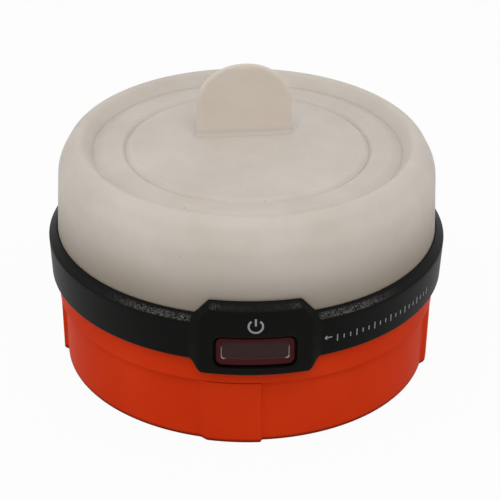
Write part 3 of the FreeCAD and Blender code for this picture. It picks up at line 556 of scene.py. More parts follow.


# The orange finish carries painted shade along its foot
ORANGE_ABS = MouldedAbs("orange_abs_satin", "#CC340E", "#D53A14", roughness=0.5, specular=0.02,
                        foot_shade_mm=1.4, foot_shade_tone="#4A1008")
# The black finish's pale stipple tone is a painted highlight
BLACK_ABS = MouldedAbs("black_abs_stippled", "#0B0A09", "#0F0E0D", roughness=0.45, specular=0.05,
                       stipple_mm=0.65, stipple_depth_mm=0.15, stipple_highlight_tone="#6C6B69")
# Painted shadow: near-black for parts seen only in the dark gap round the button
SHADOW_BLACK = MouldedAbs("painted_shadow_black", "#050505", "#080808", roughness=0.6, specular=0.02)
INNER_ABS = MouldedAbs("black_abs_inner", "#161616", "#1E1E1E", roughness=0.55)
WHITE_ABS = MouldedAbs("white_abs_matt", "#DAD9D4", "#E4E3DF", roughness=0.5)
GREY_PRINT = MouldedAbs("grey_pad_print", "#86888A", "#929496", roughness=0.6, grain_mm=0.2)
MILKY_SILICONE = Silicone("milky_silicone", "#C6BDB3", "#D0C8C0", "#5A5048")
# At the tab's root the tone eases to a little darker than the disc's: partly its own colour, partly painted
# shade over the lit fillet
TAB_SILICONE = Silicone("tab_silicone", "#D1C6BA", "#D8CEC3", "#5A5048", shade="#C2BAB0",
                        shade_mm=(59.8, 62.0), shade_share=1.0, depth=0.15)
# The third colour is a painted highlight
SMOKY_RED = SmokyPolycarbonate("smoky_red_polycarbonate", "#3F0D12", "#342422", "#A09A8E")
NICKEL = PlatedSteel("nickel_plated_steel")
GREEN_BOARD = SolderMask("green_solder_mask")
LED_YELLOW = Phosphor("led_phosphor")
NITRILE = Rubber("black_nitrile", "#141414", "#242424")


@dataclass
class Skin:
    """Quads on a grid of rows and columns of points."""

    points: np.ndarray
    wrap_rows: bool = True
    wrap_columns: bool = True
    marks: dict[str, np.ndarray] = field(default_factory=dict)
    gap: np.ndarray | None = None

    def quads(self) -> np.ndarray:
        """Joins each point to its next row and column, except where all four corners are in the gap.

        Returns:
            Point numbers of each quad, four to a row.
        """
        rows, columns = self.points.shape[:2]
        index = np.arange(rows * columns).reshape(rows, columns)
        if self.wrap_rows:
            index = np.concatenate([index, index[:1]])
        if self.wrap_columns:
            index = np.concatenate([index, index[:, :1]], axis=1)
        corners = (index[:-1, :-1], index[1:, :-1], index[1:, 1:], index[:-1, 1:])
        quads = np.stack(corners, axis=-1).reshape(-1, 4)
        return quads if self.gap is None else quads[~self.gap.ravel()[quads].all(axis=1)]


def make_piece(name: str, skins: list[Skin], finish: Finish, body: Body | None,
               sharp_deg: float = 38.0) -> bpy.types.Object:
    """Puts skins into one mesh, welds it, turns its faces outwards and rides it on a body.

    Args:
        name: Name of the piece.
        skins: Closed surfaces in millimetres.
        finish: The piece's finish.
        body: Body that it rides on, or None to leave it unattached.
        sharp_deg: Edges that bend more than this stay crisp.

    Returns:
        The new object.
    """
    starts = np.cumsum([0] + [skin.points.shape[0] * skin.points.shape[1] for skin in skins])
    points = np.concatenate([skin.points.reshape(-1, 3) for skin in skins]) * MM
    quads = np.concatenate([skin.quads() + start for skin, start in zip(skins, starts)])
    mesh = bpy.data.meshes.new(name)
    mesh.vertices.add(len(points))
    mesh.vertices.foreach_set("co", points.astype(np.float32).ravel())
    mesh.loops.add(quads.size)
    mesh.loops.foreach_set("vertex_index", quads.astype(np.int32).ravel())
    mesh.polygons.add(len(quads))
    mesh.polygons.foreach_set("loop_start", np.arange(0, quads.size, 4, dtype=np.int32))
    mesh.update(calc_edges=True)
    for mark in sorted({mark for skin in skins for mark in skin.marks}):
        values = [skin.marks.get(mark, np.zeros(skin.points.shape[:2])).ravel() for skin in skins]
        layer = mesh.attributes.new(mark, "FLOAT", "POINT")
        layer.data.foreach_set("value", np.concatenate(values).astype(np.float32))
    shape = bmesh.new()
    shape.from_mesh(mesh)
    bmesh.ops.remove_doubles(shape, verts=shape.verts, dist=WELD_MM * MM)
    bmesh.ops.dissolve_degenerate(shape, edges=shape.edges, dist=SLIVER_MM * MM)
    bmesh.ops.recalc_face_normals(shape, faces=shape.faces)
    shape.to_mesh(mesh)
    shape.free()
    mesh.polygons.foreach_set("use_smooth", np.ones(len(mesh.polygons), dtype=bool))
    mesh.set_sharp_from_angle(angle=math.radians(sharp_deg))
    piece = bpy.data.objects.new(name, mesh)
    bpy.context.scene.collection.objects.link(piece)
    piece.data.materials.append(finish.material())
    if body:
        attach(piece, body.value)
    LOG.info("%s: %d points, %d faces", name, len(mesh.vertices), len(mesh.polygons))
    return piece


def rounded(corners: list[tuple[float, float, float]], step: float, turns: int = 9) -> np.ndarray:
    """Closed outline whose corners are arcs.

    An arc is the rational curve (A(1-t)^2 + 2wCt(1-t) + Bt^2) over its own weights, which is a circle
    when w is the sine of half the corner's angle. Runs between arcs are divided evenly.

    Args:
        corners: First and second coordinate and radius of each corner.
        step: Longest length of a piece of a straight run.
        turns: Points on each arc.

    Returns:
        Points of the outline, two coordinates each.
    """
    at = np.array([corner[:2] for corner in corners])
    radius = np.array([corner[2] for corner in corners])
    before = np.roll(at, 1, axis=0) - at
    after = np.roll(at, -1, axis=0) - at
    before_length = np.linalg.norm(before, axis=1)
    after_length = np.linalg.norm(after, axis=1)
    before /= before_length[:, None]
    after /= after_length[:, None]
    half = np.arccos(np.clip(np.sum(before * after, axis=1), -1, 1)) / 2
    reach = np.minimum(radius / np.tan(half), ARC_SHARE * np.minimum(before_length, after_length))
    start = at + before * reach[:, None]
    end = at + after * reach[:, None]
    t = np.linspace(0, 1, turns)[:, None]
    pieces = []
    for i in range(len(at)):
        if reach[i] > 0:
            weight = 2 * np.sin(half[i]) * t * (1 - t)
            top = start[i] * (1 - t) ** 2 + at[i] * weight + end[i] * t ** 2
            pieces.append(top / ((1 - t) ** 2 + weight + t ** 2))
        else:
            pieces.append(at[i:i + 1])
        run = start[(i + 1) % len(at)] - end[i]
        count = max(1, math.ceil(np.linalg.norm(run) / step))
        pieces.append(end[i] + run * np.arange(1, count)[:, None] / count)
    return np.concatenate(pieces)


def spaced(loop: np.ndarray, count: int) -> np.ndarray:
    """Puts points evenly along a closed loop, from its first point on.

    Args:
        loop: Points of the loop.
        count: Number of points wanted.

    Returns:
        The evenly spaced points.
    """
    closed = np.concatenate([loop, loop[:1]])
    along = np.concatenate([[0], np.cumsum(np.linalg.norm(np.diff(closed, axis=0), axis=1))])
    wanted = np.linspace(0, along[-1], count, endpoint=False)
    return np.stack([np.interp(wanted, along, closed[:, i]) for i in (0, 1)], axis=1)


def turned(outline: np.ndarray, angles: np.ndarray, swell: np.ndarray | float = 0.0) -> np.ndarray:
    """Profile turned about Z: x = r sin a, y = -r cos a, with a swell added to the radius r.

    Args:
        outline: Radius and height of each profile point.
        angles: Front angles in radians.
        swell: Extra radius for each profile point and angle.

    Returns:
        Grid of points, one row for each profile point.
    """
    radius = outline[:, :1] + swell + np.zeros((1, len(angles)))
    height = np.broadcast_to(outline[:, 1:], radius.shape)
    return np.stack([radius * np.sin(angles), -radius * np.cos(angles), height], axis=-1)


def capped(points: np.ndarray) -> np.ndarray:
    """Closes the two ends of a carried section with a point in the middle of each.

    Args:
        points: Grid whose rows run round the section and whose columns run along the path.

    Returns:
        The grid with a column of middle points before and after.
    """
    middle = np.broadcast_to(points.mean(axis=0, keepdims=True), points.shape)
    return np.concatenate([middle[:, :1], points, middle[:, -1:]], axis=1)


def on_front(loop: np.ndarray, radius: np.ndarray | float) -> np.ndarray:
    """Lays a loop drawn in front view on to an upright cylinder: y = -sqrt(radius^2 - x^2).

    Args:
        loop: X and Z of each point.
        radius: Radius of the cylinder for all points or for each one.

    Returns:
        Points in space.
    """
    depth = np.sqrt(np.maximum(radius ** 2 - loop[:, 0] ** 2, 0))
    return np.stack([loop[:, 0], -depth, loop[:, 1]], axis=1)


def box_mm(node: str) -> tuple[np.ndarray, np.ndarray]:
    """Lowest and highest corner of a CAD node, in millimetres."""
    low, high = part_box(node)
    return np.array(low) / MM, np.array(high) / MM


@dataclass
class BaseCup:
    """Orange cup with raised grip pads, a foot ring and bayonet lugs inside."""

    draft: float = 0.4
    wall: float = 2.4
    floor: float = 2.0
    recess: float = 0.6
    foot_ring: float = 6.0
    pad_height: float = 1.1
    pad_count: int = 4
    pad_span_deg: float = 17.3
    pad_front_deg: float = -6.4
    pad_soft_deg: tuple[float, float] = (1.5, 0.5)
    lug_reach: float = 2.2
    lug_span_deg: float = 9.0
    lug_low: float = 10.4
    lug_high: float = 12.6
    lug_root: float = 0.8
    lug_edge: float = 0.2
    edge: float = 0.3
    foot_edge: float = 0.8
    rim_edge: float = 0.35
    swell_over: float = 0.9
    run: float = 2.0
    columns: int = 360

    def build(self) -> bpy.types.Object:
        """Builds the cup: a turned profile whose outer wall swells to the pads' height at the pads.

        Returns:
            The cup.
        """
        low, high = box_mm("base_cup")
        rim_r = high[0] - self.pad_height
        foot_r = rim_r - self.draft
        bore_r = foot_r - self.wall
        foot_in = foot_r - self.foot_ring
        outline = rounded([
            (0.0, self.recess, 0), (foot_in, self.recess, self.edge), (foot_in, low[2], self.edge),
            (foot_r, low[2], self.foot_edge), (rim_r, high[2], self.rim_edge), (bore_r, high[2], self.edge),
            (bore_r, self.floor, self.foot_edge), (0.0, self.floor, 0),
        ], self.run)
        middles = np.radians(self.pad_front_deg + 360.0 * np.arange(self.pad_count) / self.pad_count)
        half = math.radians(self.pad_span_deg / 2)
        left, right = np.radians(self.pad_soft_deg)
        fine = np.concatenate([np.linspace(-1, 1, 17) * left - half, np.linspace(-1, 1, 13) * right + half])
        fine = (middles[:, None] + fine).ravel()
        even = np.linspace(-math.pi, math.pi, self.columns, endpoint=False)
        angles = np.unique(np.concatenate([even, fine]))
        away = (angles[:, None] - middles + math.pi) % (2 * math.pi) - math.pi
        rise = np.clip(np.minimum((away + half) / left, (half - away) / right) / 2 + 0.5, 0, 1).max(axis=1)
        rise = rise * rise * (3 - 2 * rise)
        share = np.clip((outline[:, 0] - bore_r - self.swell_over) / self.swell_over, 0, 1)
        skins = [Skin(turned(outline, angles, self.pad_height * share[:, None] * rise), wrap_rows=False)]
        lug_in, lug_out = bore_r - self.lug_reach, bore_r + self.lug_root
        section = rounded([
            (lug_in, self.lug_low, self.lug_edge), (lug_out, self.lug_low, self.lug_edge),
            (lug_out, self.lug_high, self.lug_edge), (lug_in, self.lug_high, self.lug_edge)], self.run, 4)
        reach = math.radians(self.lug_span_deg / 2)
        for middle in middles:
            lug = turned(section, np.linspace(middle - reach, middle + reach, 12))
            skins.append(Skin(capped(lug), wrap_columns=False))
        piece = make_piece("cup_shell", skins, ORANGE_ABS, Body.BASE)
        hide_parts("base_cup")
        return piece


@dataclass
class Belt:
    """Black belt round the housing, whose edges rise and drop at the front to make the button's plate."""

    seat_r: float = 49.0
    collar_r: float = 49.7
    back_r: float = 49.75
    ridge_r: float = 52.0
    plate_r: float = 52.4
    draft: float = 0.6
    low: float = 25.4
    shelf: float = 33.8
    top: float = 38.0
    chamfer_h: tuple[float, float] = (2.1, 1.65)
    lip_r: tuple[float, float] = (50.0, 50.2)
    rise_half: tuple[float, float] = (11.8, 15.65)
    drop_half: tuple[float, float] = (13.2, 16.6)
    proud_half: tuple[float, float] = (13.5, 17.0)
    edge: float = 0.5
    window_half: tuple[float, float] = (10.35, 4.4)
    window_corner: float = 2.1
    window_edge: float = 0.35
    window_lips: tuple[float, ...] = (0.03, 0.1, 0.2, 0.35)
    rise_ease: float = 0.25
    ridge_soft: float = 0.35
    near_deg: float = 22.0
    far_deg: tuple[float, float, float] = (22.4, 337.8, 0.4)
    behind: float = 99.0
    slope_rows: int = 10
    stipple_rows: tuple[int, int] = (4, 7)
    highlight_deg: tuple[float, ...] = (0, 9, 11.5, 13, 17.8, 18.6, 30, 40, 46)
    highlight_share: tuple[float, ...] = (0.05, 0.1, 0.45, 0, 0, 1, 1, 0.25, 0.04)
    sharp_deg: float = 30.0

    def ease(self, half: np.ndarray, ends: tuple[float, float]) -> np.ndarray:
        """Smooth step that is 1 nearer to the middle than the first end and 0 beyond the second."""
        share = np.clip((ends[1] - half) / (ends[1] - ends[0]), 0, 1)
        return share * share * (3 - 2 * share)

    def columns(self) -> tuple[np.ndarray, np.ndarray]:
        """Front angles of the section's places, closer at the front and with the window's ends twice.

        Returns:
            The angles, and whether each place is within the window.
        """
        wide = self.window_half[0]
        turn = np.linspace(0, math.pi / 2, 13)[:-1]
        rounding = wide - self.window_corner * (1 - np.sin(turn))
        extra = np.arcsin(np.concatenate([rounding, wide + np.array(self.window_lips)]) / self.plate_r)
        end = math.asin(wide / self.plate_r)
        even = np.radians(np.linspace(-self.near_deg, self.near_deg, 401))
        near = np.unique(np.concatenate([even, extra, -extra]))
        near = near[np.abs(np.abs(near) - end) > 1e-5]
        left, middle, right = near[near < -end], near[np.abs(near) < end], near[near > end]
        rest = np.radians(np.arange(*self.far_deg))
        angles = np.concatenate([left, [-end, -end], middle, [end, end], right, rest])
        within = np.zeros(len(angles), dtype=bool)
        within[len(left) + 1:len(left) + len(middle) + 3] = True
        return angles, within

    def build(self) -> bpy.types.Object:
        """Builds the belt: a section carried round, whose heights and radii change with the angle.

        The rows go from the lower back edge over the lower edge's arc, up the face, over the ridge, up the
        chamfer and down the back. Within the window the middle rows of the face lie on the back and are
        left open. A point at distance d outside the window's outline is lowered by
        e (1 - sqrt(1 - (1 - d / e)^2)), which rounds the window's edge by e.

        Returns:
            The belt.
        """
        low_box, high_box = box_mm("trim_band")
        button_low, button_high = box_mm("button_cap")
        middle_z = (button_low[2] + button_high[2]) / 2
        angles, within = self.columns()
        half = np.where(np.cos(angles) > 0, np.abs(self.plate_r * np.sin(angles)), self.behind)
        ramp = np.clip((self.rise_half[1] - half) / (self.rise_half[1] - self.rise_half[0]), 0, 1)
        up = (1 - self.rise_ease) * ramp + self.rise_ease * self.ease(half, self.rise_half)
        proud = self.ease(half, self.proud_half)
        foot = self.low + (low_box[2] - self.low) * self.ease(half, self.drop_half)
        top = self.top + (high_box[2] - self.top) * up
        ridge = top - (self.chamfer_h[0] + (self.chamfer_h[1] - self.chamfer_h[0]) * up)
        ridge_r = self.ridge_r + (self.plate_r - self.ridge_r) * proud
        foot_r = self.ridge_r - self.draft + (self.plate_r - self.ridge_r + self.draft) * proud
        lip_r = self.lip_r[0] + (self.lip_r[1] - self.lip_r[0]) * up
        wide, tall = self.window_half
        past = np.clip(half - (wide - self.window_corner), 0, self.window_corner)
        reach = tall - self.window_corner + np.sqrt(self.window_corner ** 2 - past ** 2)
        under, over = middle_z - reach, middle_z + reach

        def rows(shares: list[float], start: np.ndarray, end: np.ndarray) -> np.ndarray:
            """Rows at some shares of the way from one row to another."""
            return start + (end - start) * np.array(shares)[:, None]

        def face(height: np.ndarray) -> np.ndarray:
            """Radius of the face at some heights, lowered at the window's edge."""
            radius = foot_r + (ridge_r - foot_r) * (height - foot) / (ridge - foot)
            x = half - wide + self.window_corner
            z = np.abs(height - middle_z) - tall + self.window_corner
            away = np.hypot(np.maximum(x, 0), np.maximum(z, 0)) + np.minimum(np.maximum(x, z), 0)
            turn = np.clip(1 - (away - self.window_corner) / self.window_edge, 0, 1)
            return radius - self.window_edge * (1 - np.sqrt(1 - turn ** 2))

        turn = np.linspace(0, math.pi / 2, 6)[:, None]
        start = foot + self.edge
        lips = np.array(self.window_lips)[:, None]
        quarters, thirds, fifths = [0.25, 0.5, 0.75], [0, 1 / 3, 2 / 3, 1], [0.2, 0.4, 0.6, 0.8, 1]
        shy = ridge - self.ridge_soft
        lower = np.concatenate([
            rows(quarters, start, under - self.window_edge), under - lips[::-1], under[None]])
        middle = rows(thirds, under, over)
        upper = np.concatenate([over[None], over + lips, rows(fifths, over + self.window_edge, shy)])
        along = np.stack([lip_r - ridge_r, top - ridge])
        along /= np.linalg.norm(along, axis=0)
        bend = np.array(fifths)[:, None]
        before = (face(shy), shy)
        after = (ridge_r + self.ridge_soft * along[0], ridge + self.ridge_soft * along[1])
        curve = [(1 - bend) ** 2 * a + 2 * bend * (1 - bend) * c + bend ** 2 * b
                 for a, c, b in zip(before, (ridge_r, ridge), after)]
        shares = list(np.linspace(1 / self.slope_rows, 1, self.slope_rows))
        slope = [rows(shares, a, b) for a, b in zip(after, (lip_r, top))]
        flat = np.ones((1, len(angles)))
        step = np.minimum(self.low, under)[None]
        parts = [
            (self.back_r * flat, foot[None]),
            (foot_r - self.edge * (1 - np.sin(turn)), foot + self.edge * (1 - np.cos(turn))),
            (face(lower), lower),
            (np.where(within, self.seat_r, face(middle)), middle),
            (face(upper), upper),
            (curve[0], curve[1]),
            (slope[0], slope[1]),
            (self.back_r * flat, top[None]),
            (self.collar_r * flat, self.top * flat),
            (self.collar_r * flat, self.shelf * flat),
            (self.seat_r * flat, self.shelf * flat),
            (self.seat_r * np.ones_like(middle), middle[::-1]),
            (self.seat_r * flat, step),
            (self.back_r * flat, step),
        ]
        radius = np.concatenate([part[0] for part in parts])
        height = np.concatenate([part[1] for part in parts])
        points = np.stack([radius * np.sin(angles), -radius * np.cos(angles), height], axis=-1)
        counts = [len(part[0]) for part in parts]
        gap = np.repeat([i in (3, 11) for i in range(len(parts))], counts)[:, None] & within
        fade = np.interp(np.arange(self.slope_rows), self.stipple_rows, [1, 0])
        sloped = np.concatenate([np.zeros(sum(counts[:6])), fade, np.zeros(sum(counts[7:]))])[:, None]
        # The stipple share fades with the front angle, so the stipple and its painted highlight show only
        # beside the plate
        turned_by = np.degrees(np.abs((angles + math.pi) % (2 * math.pi) - math.pi))
        highlit = np.interp(turned_by, self.highlight_deg, self.highlight_share)
        skin = Skin(points, marks={"stipple": sloped * highlit}, gap=gap)
        piece = make_piece("belt_ring", [skin], BLACK_ABS, Body.HEAD, self.sharp_deg)
        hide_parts("trim_band")
        return piece


@dataclass
class PushButton:
    """Smoky red button: a body with rounded edges, a sunk face, ears behind the plate and a stem."""

    half_w: float = 9.75
    corner: float = 1.5
    back_y: float = -49.95
    step: float = 0.4
    border: float = 1.3
    face_up: float = 0.35
    ear_half_w: float = 11.15
    ear_half_h: float = 3.0
    ear_t: float = 0.6
    ear_edge: float = 0.3
    stem_r: float = 1.8
    stem_root: float = 0.4
    corner_share: tuple[float, float] = (0.25, 0.9)
    border_flat: float = 0.85
    back_edge: float = 0.2
    glint_end: tuple[float, float] = (1.3, 0.8)
    glint_top: tuple[float, float] = (0.75, 0.6)
    columns: int = 200

    def loop(self, grow: float, half_h: float, middle_z: float) -> np.ndarray:
        """Rounded rectangle in front view, grown or shrunk all round.

        Args:
            grow: How much larger than the body's outline, on each side.
            half_h: Half the body's height.
            middle_z: Height of its middle.

        Returns:
            Points of the loop.
        """
        wide = self.half_w + grow
        tall = half_h + grow
        least, most = self.corner_share
        corner = max(min(self.corner + grow, tall * most), least * tall)
        return spaced(rounded([
            (wide, middle_z - tall, corner), (wide, middle_z + tall, corner),
            (-wide, middle_z + tall, corner), (-wide, middle_z - tall, corner)], 0.2, 9), self.columns)

    def build(self) -> list[bpy.types.Object]:
        """Builds the button: loops from the middle of its back round its side to the middle of its face.

        Returns:
            The lens and the ears behind it.
        """
        low, high = box_mm("button_cap")
        half_h = (high[2] - low[2]) / 2
        middle_z = (high[2] + low[2]) / 2
        body_r = -low[1]
        face_r = body_r - self.step
        # Growth of each loop, its radius, and how far it belongs to the sunk face
        steps = [(-0.2, body_r - 0.02, 0), (-0.45, body_r, 0), (-self.border_flat, body_r, 0),
                 (-self.border + 0.1, body_r - 0.01, 0), (-self.border, body_r - 0.06, 0.2),
                 (-self.border - 0.06, body_r - 0.2, 0.6), (-self.border - 0.14, body_r - 0.33, 0.9),
                 (-self.border - 0.28, face_r + 0.01, 1), (-self.border - 0.6, face_r, 1),
                 (-self.border - 1.4, face_r, 1), (-self.border - 2.2, face_r, 1)]
        back = self.loop(-self.back_edge, half_h, middle_z)
        side = self.loop(0.0, half_h, middle_z)
        middle = np.array([0.0, middle_z])
        loops = [np.insert(middle + (back - middle) * share, 1, self.back_y, axis=1)
                 for share in (0.0, 0.5, 1.0)]
        loops.append(np.insert(side, 1, self.back_y - self.back_edge, axis=1))
        loops.append(on_front(side, body_r - 0.3))
        loops.append(on_front(self.loop(-0.08, half_h, middle_z), body_r - 0.1))
        marks = [0.0] * len(loops)
        for grow, radius, mark in steps:
            lift = self.face_up * float(np.interp(-grow, [self.border_flat, self.border], [0, 1]))
            loops.append(on_front(self.loop(grow, half_h, middle_z + lift), radius))
            marks.append(mark)
        middle[1] += self.face_up
        last = self.loop(steps[-1][0], half_h, middle[1])
        for share in (0.5, 0.0):
            loops.append(on_front(middle + (last - middle) * share, face_r))
            marks.append(1.0)
        points = np.stack(loops)
        shown = np.broadcast_to(np.array(marks)[:, None], points.shape[:2])
        # Painted highlight: the glint mark lightens the sunk face's upright ends
        bright = ((shown > 0.5) & (shown < 1)).astype(float)
        reach, fade = self.glint_end
        bright *= np.clip((np.abs(points[..., 0]) - self.half_w + self.border + reach) / fade, 0, 1)
        share, fade = self.glint_top
        bright *= np.clip((middle_z + share * half_h - self.border - points[..., 2]) / fade, 0, 1)
        skins = [Skin(points, wrap_rows=False, marks={"face": shown, "glint": bright})]
        skins.append(self.stem(high[1], middle_z))
        lens = make_piece("button_lens", skins, SMOKY_RED, Body.BUTTON)
        # The ears are finished in painted shadow black, as they show only in the shaded gap
        ears = make_piece("button_ears", [self.ears(middle_z)], SHADOW_BLACK, Body.BUTTON)
        for piece in (lens, ears):
            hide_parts("button_cap")
        return [lens, ears]

    def stem(self, tip_y: float, middle_z: float) -> Skin:
        """Round stem along Y with a rounded tip: a circle carried back and closed to points.

        Args:
            tip_y: Place of the tip along Y.
            middle_z: Height of its middle.

        Returns:
            The stem's surface.
        """
        angle = np.linspace(0, 2 * math.pi, 32, endpoint=False)
        root = self.back_y - self.stem_root
        along = np.array([root, root, tip_y - 0.3, tip_y - 0.08, tip_y, tip_y])
        radius = np.array([0, self.stem_r, self.stem_r, self.stem_r - 0.1, self.stem_r - 0.35, 0])
        x = radius[:, None] * np.cos(angle)
        z = middle_z + radius[:, None] * np.sin(angle)
        points = np.stack([x, np.broadcast_to(along[:, None], x.shape), z], axis=-1)
        return Skin(points, wrap_rows=False, marks={"face": np.ones(x.shape)})

    def ears(self, middle_z: float) -> Skin:
        """Thin slab behind the window's sides: a rounded rectangle carried along Y and capped.

        Args:
            middle_z: Height of its middle.

        Returns:
            The slab's surface.
        """
        ways = ((1, -1), (1, 1), (-1, 1), (-1, -1))
        loop = rounded([(x * self.ear_half_w, z * self.ear_half_h, self.ear_edge) for x, z in ways], 2.0, 4)
        along = np.array([self.back_y - self.ear_t, self.back_y])
        x = np.repeat(loop[:, :1], 2, axis=1)
        z = middle_z + np.repeat(loop[:, 1:], 2, axis=1)
        points = capped(np.stack([x, np.broadcast_to(along, x.shape), z], axis=-1))
        return Skin(points, wrap_columns=False)


@dataclass
class Globe:
    """Silicone globe: an outer skirt, a middle ring and a centre disc that rise out of each other."""

    wall: float = 2.4
    lean: float = 0.65
    belt_top: float = 38.0
    wall_top: float = 55.2
    shoulder: tuple[float, float] = (46.1, 60.6)
    crest: tuple[float, float] = (43.3, 62.3)
    lip: tuple[float, float] = (40.1, 58.72)
    lip_t: float = 2.2
    flange_in: float = 41.67
    flange_top: float = 35.4
    section_t: float = 2.0
    crease_w: float = 2.8
    crease_h: float = 0.9
    valley_w: float = 1.2
    soft: float = 1.4
    bead: float = 0.2
    edge: float = 0.15
    mid_in_r: float = 31.5
    wall_soft: float = 9.0
    shoulder_soft: float = 6.0
    crest_soft: float = 2.2
    bead_soft: float = 0.2
    unevenness: float = 0.14
    drift: float = 9.0
    sines: tuple[tuple[float, ...], ...] = ((2, 1.0, 1.0, 0.0), (3, 0.6, -1.7, 1.0), (5, 0.4, 2.3, 2.0))
    loose_over: float = 8.0
    firm_lip: tuple[float, float] = (0.5, 2.0)
    run: float = 1.2
    turns: int = 11
    columns: int = 320

    def waves(self, outline: np.ndarray, angles: np.ndarray) -> np.ndarray:
        """Slow unevenness of soft silicone: a few sines round the globe that drift with height.

        Each sine is share sin(count a + slant h + start), with a the angle and h the height over drift.

        Args:
            outline: Radius and height of each profile point.
            angles: Front angles in radians.

        Returns:
            Extra radius for each profile point and angle.
        """
        height = outline[:, 1:] / self.drift
        wave = sum(share * np.sin(count * angles + slant * height + start)
                   for count, share, slant, start in self.sines)
        most = sum(sine[1] for sine in self.sines)
        return self.unevenness * (wave - most) / (2 * most)

    def turn(self, name: str, corners: list[tuple[float, float, float]], node: str,
             body: Body) -> bpy.types.Object:
        """Builds one section by turning its profile about Z.

        Args:
            name: Name of the piece.
            corners: Radius, height and corner radius of each profile corner.
            node: CAD node that the piece replaces.
            body: Body that it rides on.

        Returns:
            The section.
        """
        outline = rounded(corners, self.run, self.turns)
        angles = np.linspace(-math.pi, math.pi, self.columns, endpoint=False)
        firm, fade = self.firm_lip
        loose = np.clip((outline[:, 1:] - self.belt_top) / self.loose_over, 0, 1)
        loose = loose * np.clip((outline[:, :1] - self.lip[0] - firm) / fade, 0, 1)
        points = turned(outline, angles, self.waves(outline, angles) * loose)
        on_axis = outline[0, 0] == 0
        piece = make_piece(name, [Skin(points, wrap_rows=not on_axis)], MILKY_SILICONE, body)
        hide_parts(node)
        return piece

    def build(self) -> list[bpy.types.Object]:
        """Builds skirt, middle ring and centre disc.

        Returns:
            The three sections.
        """
        skirt_low, skirt_high = box_mm("globe_skirt")
        mid_low, mid_high = box_mm("globe_mid_ring")
        cap_low, cap_high = box_mm("globe_cap")
        foot_r = skirt_high[1]
        wall_top_r = foot_r - self.lean
        skirt = self.turn("globe_wall", [
            (self.flange_in, skirt_low[2], 0), (foot_r, skirt_low[2], 0), (foot_r, self.belt_top, 0),
            (wall_top_r, self.wall_top, self.wall_soft), (*self.shoulder, self.shoulder_soft),
            (*self.crest, self.crest_soft),
            (*self.lip, self.edge), (self.lip[0], self.lip[1] - self.lip_t, self.edge),
            (self.crest[0], self.crest[1] - self.lip_t, self.crest_soft),
            (self.shoulder[0] - self.wall / 2, self.shoulder[1] - self.wall, self.shoulder_soft),
            (wall_top_r - self.wall, self.wall_top, self.wall_soft), (foot_r - self.wall, self.flange_top, 0),
            (self.flange_in, self.flange_top, 0),
        ], "globe_skirt", Body.HEAD)
        mid_r = mid_high[1]
        under = mid_high[2] - self.crease_h - self.section_t
        ring = self.turn("globe_ring", [
            (mid_r, mid_low[2], 0), (mid_r, mid_high[2] - 2 * self.crease_h, self.bead_soft),
            (mid_r + self.bead, mid_high[2] - self.crease_h, self.edge / 3),
            (mid_r - self.crease_w, mid_high[2], self.soft),
            (self.mid_in_r + self.valley_w, mid_high[2], self.soft),
            (self.mid_in_r, mid_high[2] - self.crease_h, self.edge),
            (self.mid_in_r, under, 0), (mid_r - self.section_t, under, self.edge),
            (mid_r - self.section_t, mid_low[2], 0),
        ], "globe_mid_ring", Body.GLOBE_MID)
        cap_r = cap_high[1]
        inner_r = cap_r - self.section_t
        disc = self.turn("globe_disc", [
            (0.0, cap_high[2] - self.section_t, 0), (inner_r, cap_high[2] - self.section_t, self.edge),
            (inner_r, cap_low[2], 0), (cap_r, cap_low[2], 0),
            (cap_r, cap_high[2] - 2 * self.crease_h, self.bead_soft),
            (cap_r + self.bead, cap_high[2] - self.crease_h, self.edge / 3),
            (cap_r - self.valley_w, cap_high[2], self.soft), (0.0, cap_high[2], 0),
        ], "globe_cap", Body.GLOBE_TOP)
        return [skirt, ring, disc]


